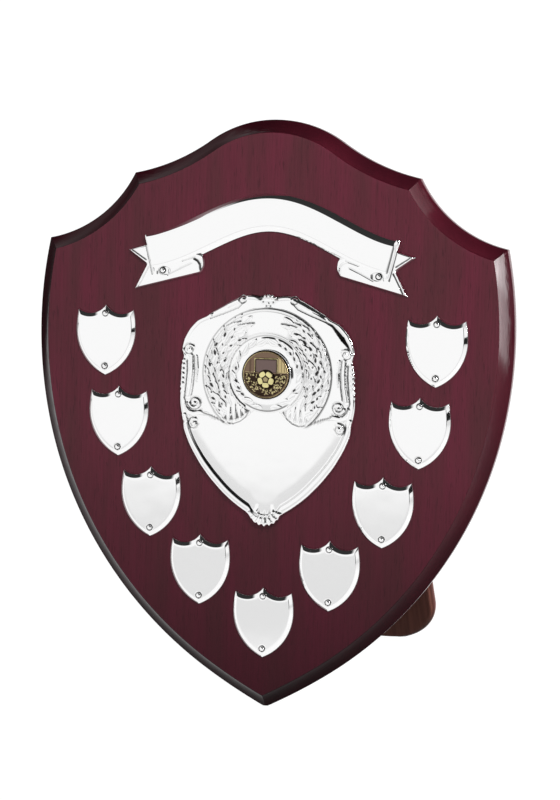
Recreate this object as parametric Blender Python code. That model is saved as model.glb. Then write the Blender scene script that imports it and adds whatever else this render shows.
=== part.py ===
"""Standing award shield: a bevelled wooden board with pressed silver trim, propped by a wooden strut.

Flat places on the board are written as (across, up): across from its centre line, and up from its
tip along its face. Out is the distance in front of the face. The board leans back from the shelf.
"""

import math

import bmesh
import bpy
from mathutils import Euler, Vector

# The gap that keeps touching pieces apart
GAP = 0.0003

# The board
BOARD_HEIGHT = 0.3113
BOARD_THICKNESS = 0.015
BEVEL_WIDTH = 0.0069
BEVEL_DEPTH = 0.009
BEVEL_HOLLOW = 0.0005
CREST_RADIUS = 0.0614
NECK_RADIUS = 0.1066
SHOULDER = Vector((0.0766, 0.2822))
SCOOP_RADIUS = 0.0664
OUTER_SHOULDER = Vector((0.1227, 0.2468))
SIDE_CENTRE = Vector((-0.1015, 0.1997))
SIDE_RADIUS = 0.2294
SIDE_TURN = math.radians(-12.7)
FLANK_RADIUS = 0.212
FLANK_TURN = math.radians(-56.2)
POINT_RADIUS = 0.3012
LEAN = math.radians(8.0)
TIP_TRIM = 0.0015

# The strut behind it
STRUT_FOOT_BEHIND = 0.1242
STRUT_WIDTH = 0.1410
STRUT_THICKNESS = 0.009
STRUT_TAPER = math.radians(1.5)
STRUT_CORNER = 0.0277
STRUT_EDGE_ROUND = 0.004
STRUT_TOP_UP = 0.185
STRUT_SPARE = 0.030
STRUT_TRIM = 0.0012

# The nine record shields: places of the right-hand ones, top to bottom, and the middle one last
RECORD_PLACES = ((0.0888, 0.1937), (0.0810, 0.1510), (0.0626, 0.1088), (0.0350, 0.0740), (0.0, 0.0475))
RECORD_HALF_WIDTH = 0.0164
RECORD_WIDEST_UP = 0.0055
RECORD_TIP_DOWN = 0.0189
RECORD_PEAK_UP = 0.0189
RECORD_HORN = Vector((0.0150, 0.0162))
RECORD_SCALLOP_LOW = Vector((0.0082, 0.0140))
RECORD_UPPER_RADIUS = 0.050
RECORD_EDGE = 0.0020
RECORD_OUT = 0.0022
RECORD_PROFILE = (
    (0.0, GAP), (0.0, 0.45 * RECORD_OUT), (0.4 * RECORD_EDGE, 0.8 * RECORD_OUT), (RECORD_EDGE, RECORD_OUT),
)
RECORD_PIN_UP = 0.0140

# The scroll banner
SCROLL_UP = 0.2628
SCROLL_DROP = 0.0231
SCROLL_HALF_WAVE = 0.0725
SCROLL_REACH = 0.0652
SCROLL_HALF_WIDTH = 0.0097
SCROLL_OUT = 0.0040
SCROLL_SIDE = ((1.0, GAP), (1.0, 0.0016), (0.86, 0.72 * SCROLL_OUT), (0.5, 0.92 * SCROLL_OUT))
SCROLL_STATIONS = 26
TAIL_OUT = 0.0020
TAIL = (
    (0.0350, 0.2400), (0.0770, 0.2413), (0.0668, 0.2345),
    (0.0732, 0.2212), (0.0368, 0.2308), (0.0358, 0.2350),
)
SCROLL_PIN = (0.0578, 0.2313)
TAIL_TAPER = 0.07

# The centre shield and the disc let into it
DISC_CENTRE = Vector((0.0, 0.1787))
DISC_RADIUS = 0.0125
DISC_SIDES = 32
DISC_PROFILE = ((DISC_RADIUS, 0.0), (DISC_RADIUS, 0.0016), (0.0121, 0.0019), (0.0115, 0.0015))
BALL_CENTRE = Vector((0.0, -0.0024))
BALL_PROFILE = ((0.0048, 0.0015), (0.0036, 0.0019), (0.0018, 0.0021))
DISC_SEAT_OUT = 0.0042
DISC_OUT = 0.0062
SEAT_RADIUS = 0.0129
DISH_RADIUS = 0.0198
WREATH_RADIUS = 0.0340
CENTRE_EDGE_OUT = 0.0014
CENTRE_ROLL_OUT = 0.0028
CENTRE_GROOVE_OUT = 0.0020
WREATH_OUT = 0.0048
PANEL_OUT = 0.0045
PANEL_CENTRE = Vector((0.0, 0.136))
CENTRE_ROLL = ((0.0014, CENTRE_ROLL_OUT), (0.0030, CENTRE_ROLL_OUT), (0.0048, CENTRE_GROOVE_OUT))
CENTRE_SLOPE = 0.010
PANEL_FALL = 1.2
WREATH_OVERSHOOT = 1.4
COLLAR = ((0.0165, WREATH_OUT + 0.0008), (SEAT_RADIUS + 0.0008, DISC_OUT), (SEAT_RADIUS, DISC_OUT - 0.0003))
CENTRE_OUTLINE = (
    (0.0020, 0.2208), (0.0046, 0.2193), (0.0090, 0.2200), (0.0140, 0.2198), (0.0190, 0.2172),
    (0.0250, 0.2135), (0.0308, 0.2102), (0.0335, 0.2083), (0.0385, 0.2058), (0.0425, 0.2015),
    (0.0455, 0.1960), (0.0468, 0.1906), (0.0453, 0.1870), (0.0468, 0.1830), (0.0472, 0.1755),
    (0.0473, 0.1680), (0.0473, 0.1615), (0.0465, 0.1568), (0.0455, 0.1525), (0.0452, 0.1485),
    (0.0430, 0.1425), (0.0385, 0.1340), (0.0330, 0.1260), (0.0270, 0.1190), (0.0200, 0.1123),
    (0.0125, 0.1068), (0.0088, 0.1046), (0.0068, 0.1013), (0.0036, 0.0992),
)
CENTRE_TOP = 0.2210
CENTRE_FOOT = 0.0985

# The pins
PIN_RADIUS = 0.0015
PIN_RISE = 0.0009
PIN_DOME_TURN = math.radians(75)
PIN_SIDES = 10


def clear_scene():
    for old in list(bpy.data.objects):
        bpy.data.objects.remove(old, do_unlink=True)


def make_material(name, colour, roughness, metallic):
    material = bpy.data.materials.new(name)
    material.use_nodes = True
    shader = material.node_tree.nodes["Principled BSDF"]
    shader.inputs["Base Color"].default_value = (*colour, 1.0)
    shader.inputs["Roughness"].default_value = roughness
    shader.inputs["Metallic"].default_value = metallic
    return material


def place(point, out):
    """A point of the board, with its distance in front of the face, in the board's own frame."""
    return Vector((point[0], -out, point[1]))


def mirrored(point):
    return Vector((-point[0], point[1]))


def circle_at(centre, radius, out, sides):
    """A loop of points round a centre on the board."""
    angles = [2 * math.pi * step / sides for step in range(sides)]
    return [place(centre + Vector((math.cos(angle), math.sin(angle))) * radius, out) for angle in angles]


def add_piece(name, mesh, parent, material, location=(0.0, 0.0, 0.0)):
    piece = bpy.data.objects.new(name, mesh)
    piece.location = location
    piece.parent = parent
    piece.data.materials.append(material)
    bpy.context.scene.collection.objects.link(piece)
    return piece


def finish_mesh(name, shape, smooth_below=math.radians(35)):
    """The bmesh as a mesh, with its faces turned outwards and its round parts shaded smooth."""
    bmesh.ops.recalc_face_normals(shape, faces=shape.faces)
    mesh = bpy.data.meshes.new(name)
    shape.to_mesh(mesh)
    shape.free()
    mesh.shade_smooth()
    mesh.set_sharp_from_angle(angle=smooth_below)
    return mesh


def loft(loops):
    """A closed body through loops of equally many points, with a flat face over each end loop."""
    shape = bmesh.new()
    rings = [[shape.verts.new(point) for point in loop] for loop in loops]
    for lower, upper in zip(rings, rings[1:]):
        for i in range(len(lower)):
            j = (i + 1) % len(lower)
            shape.faces.new((lower[i], lower[j], upper[j], upper[i]))
    shape.faces.new(rings[0])
    shape.faces.new(rings[-1])
    return shape


def trim(shape, point, normal):
    """Cuts off what lies beyond a plane, and closes the cut with a flat face."""
    everything = shape.verts[:] + shape.edges[:] + shape.faces[:]
    cut = bmesh.ops.bisect_plane(shape, geom=everything, plane_co=point, plane_no=normal, clear_outer=True)
    edges = [part for part in cut["geom_cut"] if isinstance(part, bmesh.types.BMEdge)]
    bmesh.ops.edgeloop_fill(shape, edges=edges)


def crossing(first, second, near):
    """Where two circles, each a centre and a radius, meet nearest to a point."""
    (centre, radius), (other, other_radius) = first, second
    step = other - centre
    gap = step.length
    along = (gap * gap + radius * radius - other_radius * other_radius) / (2 * gap)
    aside = math.sqrt(max(radius * radius - along * along, 0.0))
    foot = centre + step * (along / gap)
    offset = Vector((-step.y, step.x)) * (aside / gap)
    return min((foot + offset, foot - offset), key=lambda point: (point - near).length)


def on_centre_line(circle, near):
    """Where a circle crosses the centre line, nearest to a point."""
    centre, radius = circle
    rise = math.sqrt(radius * radius - centre.x * centre.x)
    heights = (centre.y + rise, centre.y - rise)
    return Vector((0.0, min(heights, key=lambda height: abs(height - near.y))))


def centre_through(first, second, radius, left):
    """The centre of a circle through two points, on the left or the right of the way between them."""
    middle = (first + second) / 2
    step = second - first
    rise = math.sqrt(radius * radius - step.length_squared / 4)
    return middle + Vector((-step.y, step.x)).normalized() * (rise if left else -rise)


def along_arc(circle, start, end, count):
    """Points on a circle from start up to, but without, the end."""
    centre, radius = circle
    first = math.atan2(start.y - centre.y, start.x - centre.x)
    turn = math.atan2(end.y - centre.y, end.x - centre.x) - first
    turn = (turn + math.pi) % (2 * math.pi) - math.pi
    angles = [first + turn * step / count for step in range(count)]
    return [centre + Vector((math.cos(angle), math.sin(angle))) * radius for angle in angles]


def arc_outline(arcs, corners, inset):
    """A symmetric outline of arcs, drawn inset: a bulging arc shrinks, and a hollow one grows.

    Each arc is its centre, its radius, 1 or -1 for bulging or hollow, and its number of steps.
    The corners are where neighbouring arcs meet at no inset, from the top to the foot.
    """
    circles = [(centre, radius - bulge * inset) for centre, radius, bulge, _ in arcs]
    ends = [on_centre_line(circles[0], corners[0])]
    for first, second, near in zip(circles, circles[1:], corners[1:]):
        ends.append(crossing(first, second, near))
    ends.append(on_centre_line(circles[-1], corners[-1]))
    half = []
    for circle, start, end, arc in zip(circles, ends, ends[1:], arcs):
        half += along_arc(circle, start, end, arc[3])
    half.append(ends[-1])
    return half + [mirrored(point) for point in reversed(half[1:-1])]


def board_outline(inset):
    """Crest, neck, scoop and three side arcs, each meeting the next smoothly or at a sharp shoulder."""
    crest = Vector((0.0, BOARD_HEIGHT - CREST_RADIUS))
    reach = CREST_RADIUS + NECK_RADIUS
    beside = Vector((NECK_RADIUS, BOARD_HEIGHT + NECK_RADIUS))
    neck = crossing((crest, reach), (SHOULDER, NECK_RADIUS), beside)
    meet = crest + (neck - crest) * (CREST_RADIUS / reach)
    scoop = centre_through(SHOULDER, OUTER_SHOULDER, SCOOP_RADIUS, left=True)
    side_way = Vector((math.cos(SIDE_TURN), math.sin(SIDE_TURN)))
    flank_way = Vector((math.cos(FLANK_TURN), math.sin(FLANK_TURN)))
    flank = SIDE_CENTRE + side_way * (SIDE_RADIUS - FLANK_RADIUS)
    point = flank + flank_way * (FLANK_RADIUS - POINT_RADIUS)
    arcs = [
        (crest, CREST_RADIUS, 1, 7),
        (neck, NECK_RADIUS, -1, 6),
        (scoop, SCOOP_RADIUS, -1, 8),
        (SIDE_CENTRE, SIDE_RADIUS, 1, 8),
        (flank, FLANK_RADIUS, 1, 10),
        (point, POINT_RADIUS, 1, 4),
    ]
    corners = [
        Vector((0.0, BOARD_HEIGHT)),
        meet,
        SHOULDER,
        OUTER_SHOULDER,
        SIDE_CENTRE + side_way * SIDE_RADIUS,
        flank + flank_way * FLANK_RADIUS,
        Vector((0.0, 0.0)),
    ]
    return arc_outline(arcs, corners, inset)


def tip_height():
    outline = board_outline(0.0)
    return min(point.y for point in outline)


def stand_height():
    """How far the board's frame is raised, so that the trimmed tip just meets the shelf."""
    lowest = tip_height() * math.cos(LEAN) - BOARD_THICKNESS * math.sin(LEAN)
    return -lowest - TIP_TRIM


def build_board(frame, wood):
    """A square rim behind, then a bevel hollowed a little by its cutter, then the flat face."""
    loops = [[place(point, -BOARD_THICKNESS) for point in board_outline(0.0)]]
    steps = 3
    for step in range(steps + 1):
        share = step / steps
        sag = BEVEL_HOLLOW * 4 * share * (1 - share)
        slope = math.atan2(BEVEL_DEPTH, BEVEL_WIDTH)
        inset = BEVEL_WIDTH * share + sag * math.sin(slope)
        out = -BEVEL_DEPTH * (1 - share) - sag * math.cos(slope)
        loops.append([place(point, out) for point in board_outline(inset)])
    shape = loft(loops)
    down = Vector((0.0, 0.0, -1.0))
    down.rotate(Euler((LEAN, 0.0, 0.0)))
    trim(shape, down * stand_height(), down)
    return add_piece("board", finish_mesh("board", shape, math.radians(25)), frame, wood)


def record_outline(inset):
    """A heater shield with two scallops between a middle peak and pointed corners."""
    half_chord = RECORD_WIDEST_UP + RECORD_TIP_DOWN
    lower_radius = (RECORD_HALF_WIDTH**2 + half_chord**2) / (2 * RECORD_HALF_WIDTH)
    lower = Vector((RECORD_HALF_WIDTH - lower_radius, RECORD_WIDEST_UP))
    upper = Vector((RECORD_HALF_WIDTH - RECORD_UPPER_RADIUS, RECORD_WIDEST_UP))
    peak = Vector((0.0, RECORD_PEAK_UP))
    scallop, scallop_radius = circle_through(peak, RECORD_SCALLOP_LOW, RECORD_HORN)
    arcs = [
        (scallop, scallop_radius, -1, 6),
        (upper, RECORD_UPPER_RADIUS, 1, 3),
        (lower, lower_radius, 1, 7),
    ]
    widest = Vector((RECORD_HALF_WIDTH, RECORD_WIDEST_UP))
    corners = [peak, RECORD_HORN, widest, Vector((0.0, -RECORD_TIP_DOWN))]
    return arc_outline(arcs, corners, inset)


def circle_through(first, second, third):
    """The centre and radius of the circle through three points."""
    a = second - first
    b = third - first
    cross = 2 * (a.x * b.y - a.y * b.x)
    across = (b.y * a.length_squared - a.y * b.length_squared) / cross
    up = (a.x * b.length_squared - b.x * a.length_squared) / cross
    offset = Vector((across, up))
    return first + offset, offset.length


def build_records(frame, silver):
    """One plate, its edges pressed down to the board, used nine times, each held by two pins."""
    loops = [[place(point, out) for point in record_outline(inset)] for inset, out in RECORD_PROFILE]
    mesh = finish_mesh("record_shield", loft(loops), math.radians(20))
    places = [(across, up) for across, up in RECORD_PLACES]
    places += [(-across, up) for across, up in reversed(RECORD_PLACES[:-1])]
    for number, spot in enumerate(places, start=1):
        add_piece(f"record_shield_{number}", mesh, frame, silver, place(spot, 0.0))
        for side, rise in (("upper", RECORD_PIN_UP), ("lower", -RECORD_PIN_UP)):
            pin_spot = place((spot[0], spot[1] + rise), RECORD_OUT + GAP)
            build_pin(f"record_pin_{number}_{side}", frame, silver, pin_spot)


def build_pin(name, frame, silver, location):
    """The domed head of a small pin."""
    loops = []
    for share in (0.0, 0.45, 0.85, 1.0):
        turn = share * PIN_DOME_TURN
        rise = PIN_RISE * math.sin(turn) / math.sin(PIN_DOME_TURN)
        loops.append(circle_at(Vector((0.0, 0.0)), PIN_RADIUS * math.cos(turn), rise, PIN_SIDES))
    return add_piece(name, finish_mesh(name, loft(loops)), frame, silver, location)


def scroll_line(across):
    """The height and the slope of the scroll's middle line, one wave of a cosine."""
    phase = math.pi * across / SCROLL_HALF_WAVE
    height = SCROLL_UP - SCROLL_DROP * (1 - math.cos(phase)) / 2
    slope = -SCROLL_DROP * math.pi * math.sin(phase) / (2 * SCROLL_HALF_WAVE)
    return height, slope


def scroll_ribbon():
    """The waved ribbon, domed across its width."""
    section = [(-share, out) for share, out in SCROLL_SIDE] + [(0.0, SCROLL_OUT)]
    section += reversed(SCROLL_SIDE)
    loops = []
    for station in range(SCROLL_STATIONS + 1):
        across = SCROLL_REACH * (2 * station / SCROLL_STATIONS - 1)
        height, slope = scroll_line(across)
        normal = Vector((-slope, 1.0)).normalized()
        middle = Vector((across, height))
        loops.append([place(middle + normal * (share * SCROLL_HALF_WIDTH), out) for share, out in section])
    return loft(loops)


def scroll_tail(side):
    """The folded-back end of the ribbon, cut to a swallowtail."""
    points = [Vector((side * across, up)) for across, up in TAIL]
    centre = sum(points, Vector((0.0, 0.0))) / len(points)
    top = [point + (centre - point) * TAIL_TAPER for point in points]
    layers = ((points, GAP), (points, 0.6 * TAIL_OUT), (top, TAIL_OUT))
    return loft([[place(point, out) for point in outline] for outline, out in layers])


def build_scroll(frame, silver):
    """Ribbon and tails, pressed as one piece, and its two pins."""
    ribbon_mesh = finish_mesh("scroll_banner", scroll_ribbon(), math.radians(45))
    scroll = add_piece("scroll_banner", ribbon_mesh, frame, silver)
    for side, word in ((1, "right"), (-1, "left")):
        tail_mesh = finish_mesh(f"scroll_tail_{word}", scroll_tail(side))
        tail = add_piece(f"scroll_tail_{word}", tail_mesh, frame, silver)
        tail.hide_render = True
        tail.display_type = "WIRE"
        join = scroll.modifiers.new(f"join {word} tail", "BOOLEAN")
        join.operation = "UNION"
        join.object = tail
        pin_spot = place((side * SCROLL_PIN[0], SCROLL_PIN[1]), TAIL_OUT + GAP)
        build_pin(f"scroll_pin_{word}", frame, silver, pin_spot)


def centre_relief(point, edge_gap):
    """How far the centre shield stands out: a rolled edge, then the wreath's dome or the panel's."""
    radius = (point - DISC_CENTRE).length
    dome = (WREATH_RADIUS - radius) / (WREATH_RADIUS - DISH_RADIUS)
    wreath = CENTRE_GROOVE_OUT + (WREATH_OUT - CENTRE_GROOVE_OUT) * min(max(dome, 0.0), WREATH_OVERSHOOT)
    panel = PANEL_OUT - PANEL_FALL * (point - PANEL_CENTRE).length_squared / WREATH_RADIUS
    body = max(wreath, panel, CENTRE_GROOVE_OUT)
    share = min(edge_gap / CENTRE_SLOPE, 1.0)
    return CENTRE_GROOVE_OUT + (body - CENTRE_GROOVE_OUT) * share


def build_centre(frame, silver):
    """Rings around the disc's seat: circles near it, and the ornate outline at the edge."""
    half = [Vector(point) for point in CENTRE_OUTLINE]
    outline = [Vector((0.0, CENTRE_TOP)), *half, Vector((0.0, CENTRE_FOOT))]
    outline += [mirrored(point) for point in reversed(half)]
    spokes = [((point - DISC_CENTRE).normalized(), (point - DISC_CENTRE).length) for point in outline]
    loops = [[place(point, GAP) for point in outline], [place(point, CENTRE_EDGE_OUT) for point in outline]]
    for edge_gap, out in CENTRE_ROLL:
        loops.append([place(DISC_CENTRE + way * (reach - edge_gap), out) for way, reach in spokes])
    roll_width = CENTRE_ROLL[-1][0]
    for share in (0.25, 0.5, 0.75):
        ring = []
        for way, reach in spokes:
            edge_gap = roll_width + (reach - roll_width - DISH_RADIUS) * share
            point = DISC_CENTRE + way * (reach - edge_gap)
            ring.append(place(point, centre_relief(point, edge_gap)))
        loops.append(ring)
    for radius, out in ((DISH_RADIUS, WREATH_OUT), *COLLAR, (SEAT_RADIUS, DISC_SEAT_OUT)):
        loops.append([place(DISC_CENTRE + way * radius, out) for way, _ in spokes])
    mesh = finish_mesh("centre_shield", loft(loops), math.radians(50))
    return add_piece("centre_shield", mesh, frame, silver)


def build_disc(frame, bronze):
    """The inlaid disc, with a thin raised rim and the ball in low relief."""
    loops = [circle_at(Vector((0.0, 0.0)), radius, rise, DISC_SIDES) for radius, rise in DISC_PROFILE]
    loops += [circle_at(BALL_CENTRE, radius, rise, DISC_SIDES) for radius, rise in BALL_PROFILE]
    mesh = finish_mesh("centre_disc", loft(loops), math.radians(40))
    return add_piece("centre_disc", mesh, frame, bronze, place(DISC_CENTRE, DISC_SEAT_OUT + GAP))


def rounded_corner(centre, radius, first, last, count):
    """Points on a quarter turn or so about a centre, both ends included."""
    points = []
    for step in range(count + 1):
        angle = first + (last - first) * step / count
        points.append(centre + Vector((math.cos(angle), math.sin(angle))) * radius)
    return points


def strut_angle():
    """How far the strut's foot swings back from upright, from the shelf and the board's back."""
    top_behind = BOARD_THICKNESS * math.cos(LEAN) + STRUT_TOP_UP * math.sin(LEAN)
    top_height = stand_height() - BOARD_THICKNESS * math.sin(LEAN) + STRUT_TOP_UP * math.cos(LEAN)
    foot_behind = BOARD_THICKNESS * math.cos(LEAN) + STRUT_FOOT_BEHIND
    return math.atan2(foot_behind - top_behind, top_height), top_behind, top_height


def build_strut(stand, wood):
    """A rounded plate, cut level where it stands and on a slant where it meets the board's back.

    It is drawn hanging from its top, with some spare length above, and then swung back.
    """
    swing, top_behind, top_height = strut_angle()
    length = top_height / math.cos(swing) + STRUT_EDGE_ROUND
    length += (STRUT_TRIM - STRUT_EDGE_ROUND * (1 - math.sin(swing))) / math.cos(swing)
    corner = Vector((STRUT_WIDTH / 2 - STRUT_CORNER, STRUT_CORNER - length))
    narrowing = (STRUT_SPARE - corner.y) * math.sin(STRUT_TAPER)
    side = corner.x + (STRUT_CORNER - narrowing) / math.cos(STRUT_TAPER)
    steps = 4
    loops = []
    for step in range(2 * (steps + 1)):
        front = step <= steps
        share = (step if front else 2 * steps + 1 - step) / steps
        turn = share * math.pi / 2
        inset = STRUT_EDGE_ROUND * (1 - math.sin(turn))
        depth = STRUT_EDGE_ROUND * (1 - math.cos(turn))
        behind = depth if front else STRUT_THICKNESS - depth
        half = [Vector((side - inset / math.cos(STRUT_TAPER), STRUT_SPARE))]
        half += rounded_corner(corner, STRUT_CORNER - inset, STRUT_TAPER, -math.pi / 2, 9)
        outline = half + [mirrored(point) for point in reversed(half)]
        loops.append([Vector((point.x, behind, point.y)) for point in outline])
    shape = loft(loops)
    turn = Euler((swing, 0.0, 0.0)).to_matrix()
    bmesh.ops.transform(shape, matrix=turn.to_4x4(), verts=shape.verts)
    bmesh.ops.translate(shape, vec=Vector((0.0, top_behind, top_height)), verts=shape.verts)
    trim(shape, Vector((0.0, 0.0, 0.0)), Vector((0.0, 0.0, -1.0)))
    towards_board = Vector((0.0, -math.cos(LEAN), math.sin(LEAN)))
    back = Vector((0.0, top_behind, top_height)) - towards_board * GAP
    trim(shape, back, towards_board)
    return add_piece("strut", finish_mesh("strut", shape, math.radians(30)), stand, wood)


def centre_on_footprint(stand):
    """Slides the whole plaque so that the origin is on the shelf under the middle of its outer box."""
    bpy.context.view_layer.update()
    pieces = [piece for piece in bpy.context.scene.objects if piece.type == "MESH"]
    corners = [piece.matrix_world @ vertex.co for piece in pieces for vertex in piece.data.vertices]
    depths = [corner.y for corner in corners]
    stand.location.y = -(min(depths) + max(depths)) / 2


def main():
    clear_scene()
    wood = make_material("lacquered rosewood finish", (0.080, 0.020, 0.025), 0.25, 0.0)
    dark_wood = make_material("dark stained wood", (0.040, 0.018, 0.014), 0.35, 0.0)
    silver = make_material("polished silver plate", (0.86, 0.86, 0.87), 0.08, 1.0)
    bronze = make_material("antique bronze", (0.20, 0.12, 0.06), 0.35, 1.0)
    stand = bpy.data.objects.new("stand", None)
    bpy.context.scene.collection.objects.link(stand)
    frame = bpy.data.objects.new("leaning_frame", None)
    bpy.context.scene.collection.objects.link(frame)
    frame.parent = stand
    frame.location.z = stand_height()
    frame.rotation_euler.x = -LEAN
    build_board(frame, wood)
    build_strut(stand, dark_wood)
    build_scroll(frame, silver)
    build_centre(frame, silver)
    build_disc(frame, bronze)
    build_records(frame, silver)
    centre_on_footprint(stand)


main()
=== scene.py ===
# %% [markdown]
# # A standing award shield
# A dark red wooden shield carries pressed silver trim: a scroll for a title, an ornate centre plate with
# a bronze disc let into it, and nine small shields for winners' names. A rounded wooden strut props it up.
# The solids of all these pieces are already packed. This lesson loads them as a fixed frame and puts a
# finely made surface in the place of each one, so that every size and place comes from the frame.

import math

import bpy
import numpy as np
from mathutils import Matrix, Vector


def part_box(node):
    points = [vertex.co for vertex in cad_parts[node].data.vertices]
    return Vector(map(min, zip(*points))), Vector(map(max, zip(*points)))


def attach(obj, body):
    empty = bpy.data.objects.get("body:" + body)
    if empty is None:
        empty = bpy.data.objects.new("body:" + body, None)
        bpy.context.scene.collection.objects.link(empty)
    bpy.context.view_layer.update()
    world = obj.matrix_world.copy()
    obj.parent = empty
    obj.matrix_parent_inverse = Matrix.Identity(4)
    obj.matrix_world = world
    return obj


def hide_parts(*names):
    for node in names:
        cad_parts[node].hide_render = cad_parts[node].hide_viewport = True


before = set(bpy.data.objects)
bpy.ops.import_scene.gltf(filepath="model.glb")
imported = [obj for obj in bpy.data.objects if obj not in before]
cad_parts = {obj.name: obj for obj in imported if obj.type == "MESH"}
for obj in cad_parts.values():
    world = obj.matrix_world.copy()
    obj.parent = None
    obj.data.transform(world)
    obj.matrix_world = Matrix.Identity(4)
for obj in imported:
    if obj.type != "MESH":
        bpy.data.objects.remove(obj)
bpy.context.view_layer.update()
print("pieces in the frame:", len(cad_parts))

# %% [markdown]
# ## Working on a leaning board
# All the trim lies on a flat face that leans back 8 degrees. It could be modelled in the world's own
# directions, but a drawing of the face is far easier to read. So places are written in millimetres as
# across, from the centre line, up, from the tip along the face, and out, in front of the face. One
# function turns them into world metres. The lean is known, and the box of the board in the frame says
# where its crest is, which fixes the rest.

# %% From the drawing to the world
MM = 0.001
LEAN = math.radians(8.0)
BOARD_HEIGHT = 311.3
BOARD_THICKNESS = 15.0
BEVEL_WIDTH = 6.9
BEVEL_DEPTH = 9.0

_, board_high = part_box("board")
SLIDE = board_high.y / MM - BOARD_THICKNESS * math.cos(LEAN) - BOARD_HEIGHT * math.sin(LEAN)
LIFT = board_high.z / MM - BOARD_HEIGHT * math.cos(LEAN) + BEVEL_DEPTH * math.sin(LEAN)


def on_board(across, up, out):
    """World places of points on the drawing: up the face also goes back by the sine of the lean, and out
    of it goes forward by its cosine."""
    across, up, out = np.broadcast_arrays(across, up, out)
    back = up * math.sin(LEAN) - out * math.cos(LEAN) + SLIDE
    rise = up * math.cos(LEAN) + out * math.sin(LEAN) + LIFT
    return np.stack([across, back, rise], axis=-1) * MM


print(f"the face starts {SLIDE:.2f} mm along y and {LIFT:.2f} mm up")

# %% [markdown]
# ## Surfaces as closed shells
# Every piece here is a stack of rings with the same number of points. A ring may be an outline of a plate
# at one height, or a section of a ribbon at one station. Joining each ring to the next with quads and
# closing both ends with a flat face gives a watertight body, and the volume that it encloses tells which
# way its faces look. Whole arrays go into the mesh at once, which is quick even for a fine relief.


# %% Closed shells
def fan_volume(points, polygons):
    """Six times the signed volume under polygons of one size, each cut into a fan of triangles."""
    total = 0.0
    first = points[polygons[:, 0]]
    for corner in range(1, polygons.shape[1] - 1):
        second, third = points[polygons[:, corner]], points[polygons[:, corner + 1]]
        total += np.einsum("ij,ij->", first, np.cross(second, third))
    return total


def closed_shell(rings):
    """Points, quads and end faces of the body through a stack of rings, with its faces looking out."""
    count, around = rings.shape[:2]
    points = rings.reshape(-1, 3).astype(float)
    index = np.arange(count * around).reshape(count, around)
    beside = np.roll(index, -1, axis=1)
    quads = np.stack([index[:-1], beside[:-1], beside[1:], index[1:]], axis=-1).reshape(-1, 4)
    ends = np.stack([index[0][::-1], index[-1]])
    if fan_volume(points, quads) + fan_volume(points, ends) < 0:
        quads, ends = quads[:, ::-1], ends[:, ::-1]
    return points, quads, ends


unit_square = ((0, 0), (1, 0), (1, 1), (0, 1))
box_points, *box_faces = closed_shell(np.array([[(x, y, z) for x, y in unit_square] for z in (0, 1)]))
print("a shell through two unit squares holds", sum(fan_volume(box_points, f) for f in box_faces) / 6)

# %% [markdown]
# One function turns shells into a finished object: its mesh, its shading with sharp edges kept, its
# material, and what it tells the frame. A relief has places that differ in tone, such as a hollow painted
# dark as shade. These are worked out with the shape and stored on the mesh as named marks, which a material
# can read. Painting them into an image would need a UV map on every piece.


# %% Pieces from shells
def make_piece(name, shells, material, stands_for, sharp_above=30.0, marks=None):
    """A mesh object of closed shells, which rides on the frame and stands for some of its nodes.
    Marks are named values, one for each point, that a material can read."""
    offset = 0
    points, corners, sizes = [], [], []
    for shell_points, quads, ends in shells:
        points.append(shell_points)
        for polygons in (quads, ends):
            corners.append((polygons + offset).ravel())
            sizes.append(np.full(len(polygons), polygons.shape[1]))
        offset += len(shell_points)
    points, corners, sizes = np.concatenate(points), np.concatenate(corners), np.concatenate(sizes)
    mesh = bpy.data.meshes.new(name)
    mesh.vertices.add(len(points))
    mesh.vertices.foreach_set("co", points.ravel().astype(np.float32))
    mesh.loops.add(len(corners))
    mesh.loops.foreach_set("vertex_index", corners.astype(np.int32))
    mesh.polygons.add(len(sizes))
    mesh.polygons.foreach_set("loop_start", (np.cumsum(sizes) - sizes).astype(np.int32))
    mesh.update(calc_edges=True)
    for mark, values in (marks or {}).items():
        layer = mesh.attributes.new(mark, "FLOAT", "POINT")
        layer.data.foreach_set("value", np.asarray(values, np.float32).ravel())
    mesh.shade_smooth()
    mesh.set_sharp_from_angle(angle=math.radians(sharp_above))
    mesh.materials.append(material)
    piece = bpy.data.objects.new(name, mesh)
    bpy.context.scene.collection.objects.link(piece)
    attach(piece, "root")
    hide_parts(*stands_for)
    return piece


def triangles(piece):
    """How many triangles a mesh has: each face gives two fewer than its corners."""
    return len(piece.data.loops) - 2 * len(piece.data.polygons)


# %% [markdown]
# ## Camera
# A long lens looks a little down on the plaque from the right. The viewing angle, the distance and the
# slight roll were fitted to the photograph with the mirror pairs of the small shields. A wide lens from
# closer would show the same width, but the left and right sides would no longer match in scale.

# %% The camera
VIEW_AZIMUTH = math.radians(13.32)
VIEW_ELEVATION = math.radians(12.80)
VIEW_ROLL = math.radians(-0.62)
VIEW_DISTANCE = 1.3854
AIM = Vector((0.0063, -0.0500, 0.1637))
LENS = 119.1

towards_camera = Vector((
    math.sin(VIEW_AZIMUTH) * math.cos(VIEW_ELEVATION),
    -math.cos(VIEW_AZIMUTH) * math.cos(VIEW_ELEVATION),
    math.sin(VIEW_ELEVATION),
))
camera_data = bpy.data.cameras.new("camera")
camera_data.lens = LENS
camera_data.sensor_width = 36.0
camera_data.clip_start, camera_data.clip_end = 0.05, 60.0
camera = bpy.data.objects.new("camera", camera_data)
bpy.context.scene.collection.objects.link(camera)
turned = (-towards_camera).to_track_quat("-Z", "Y").to_matrix() @ Matrix.Rotation(VIEW_ROLL, 3, "Z")
camera.matrix_world = Matrix.Translation(AIM + towards_camera * VIEW_DISTANCE) @ turned.to_4x4()
bpy.context.scene.camera = camera
print("camera at", [round(x, 4) for x in camera.matrix_world.translation])

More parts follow.
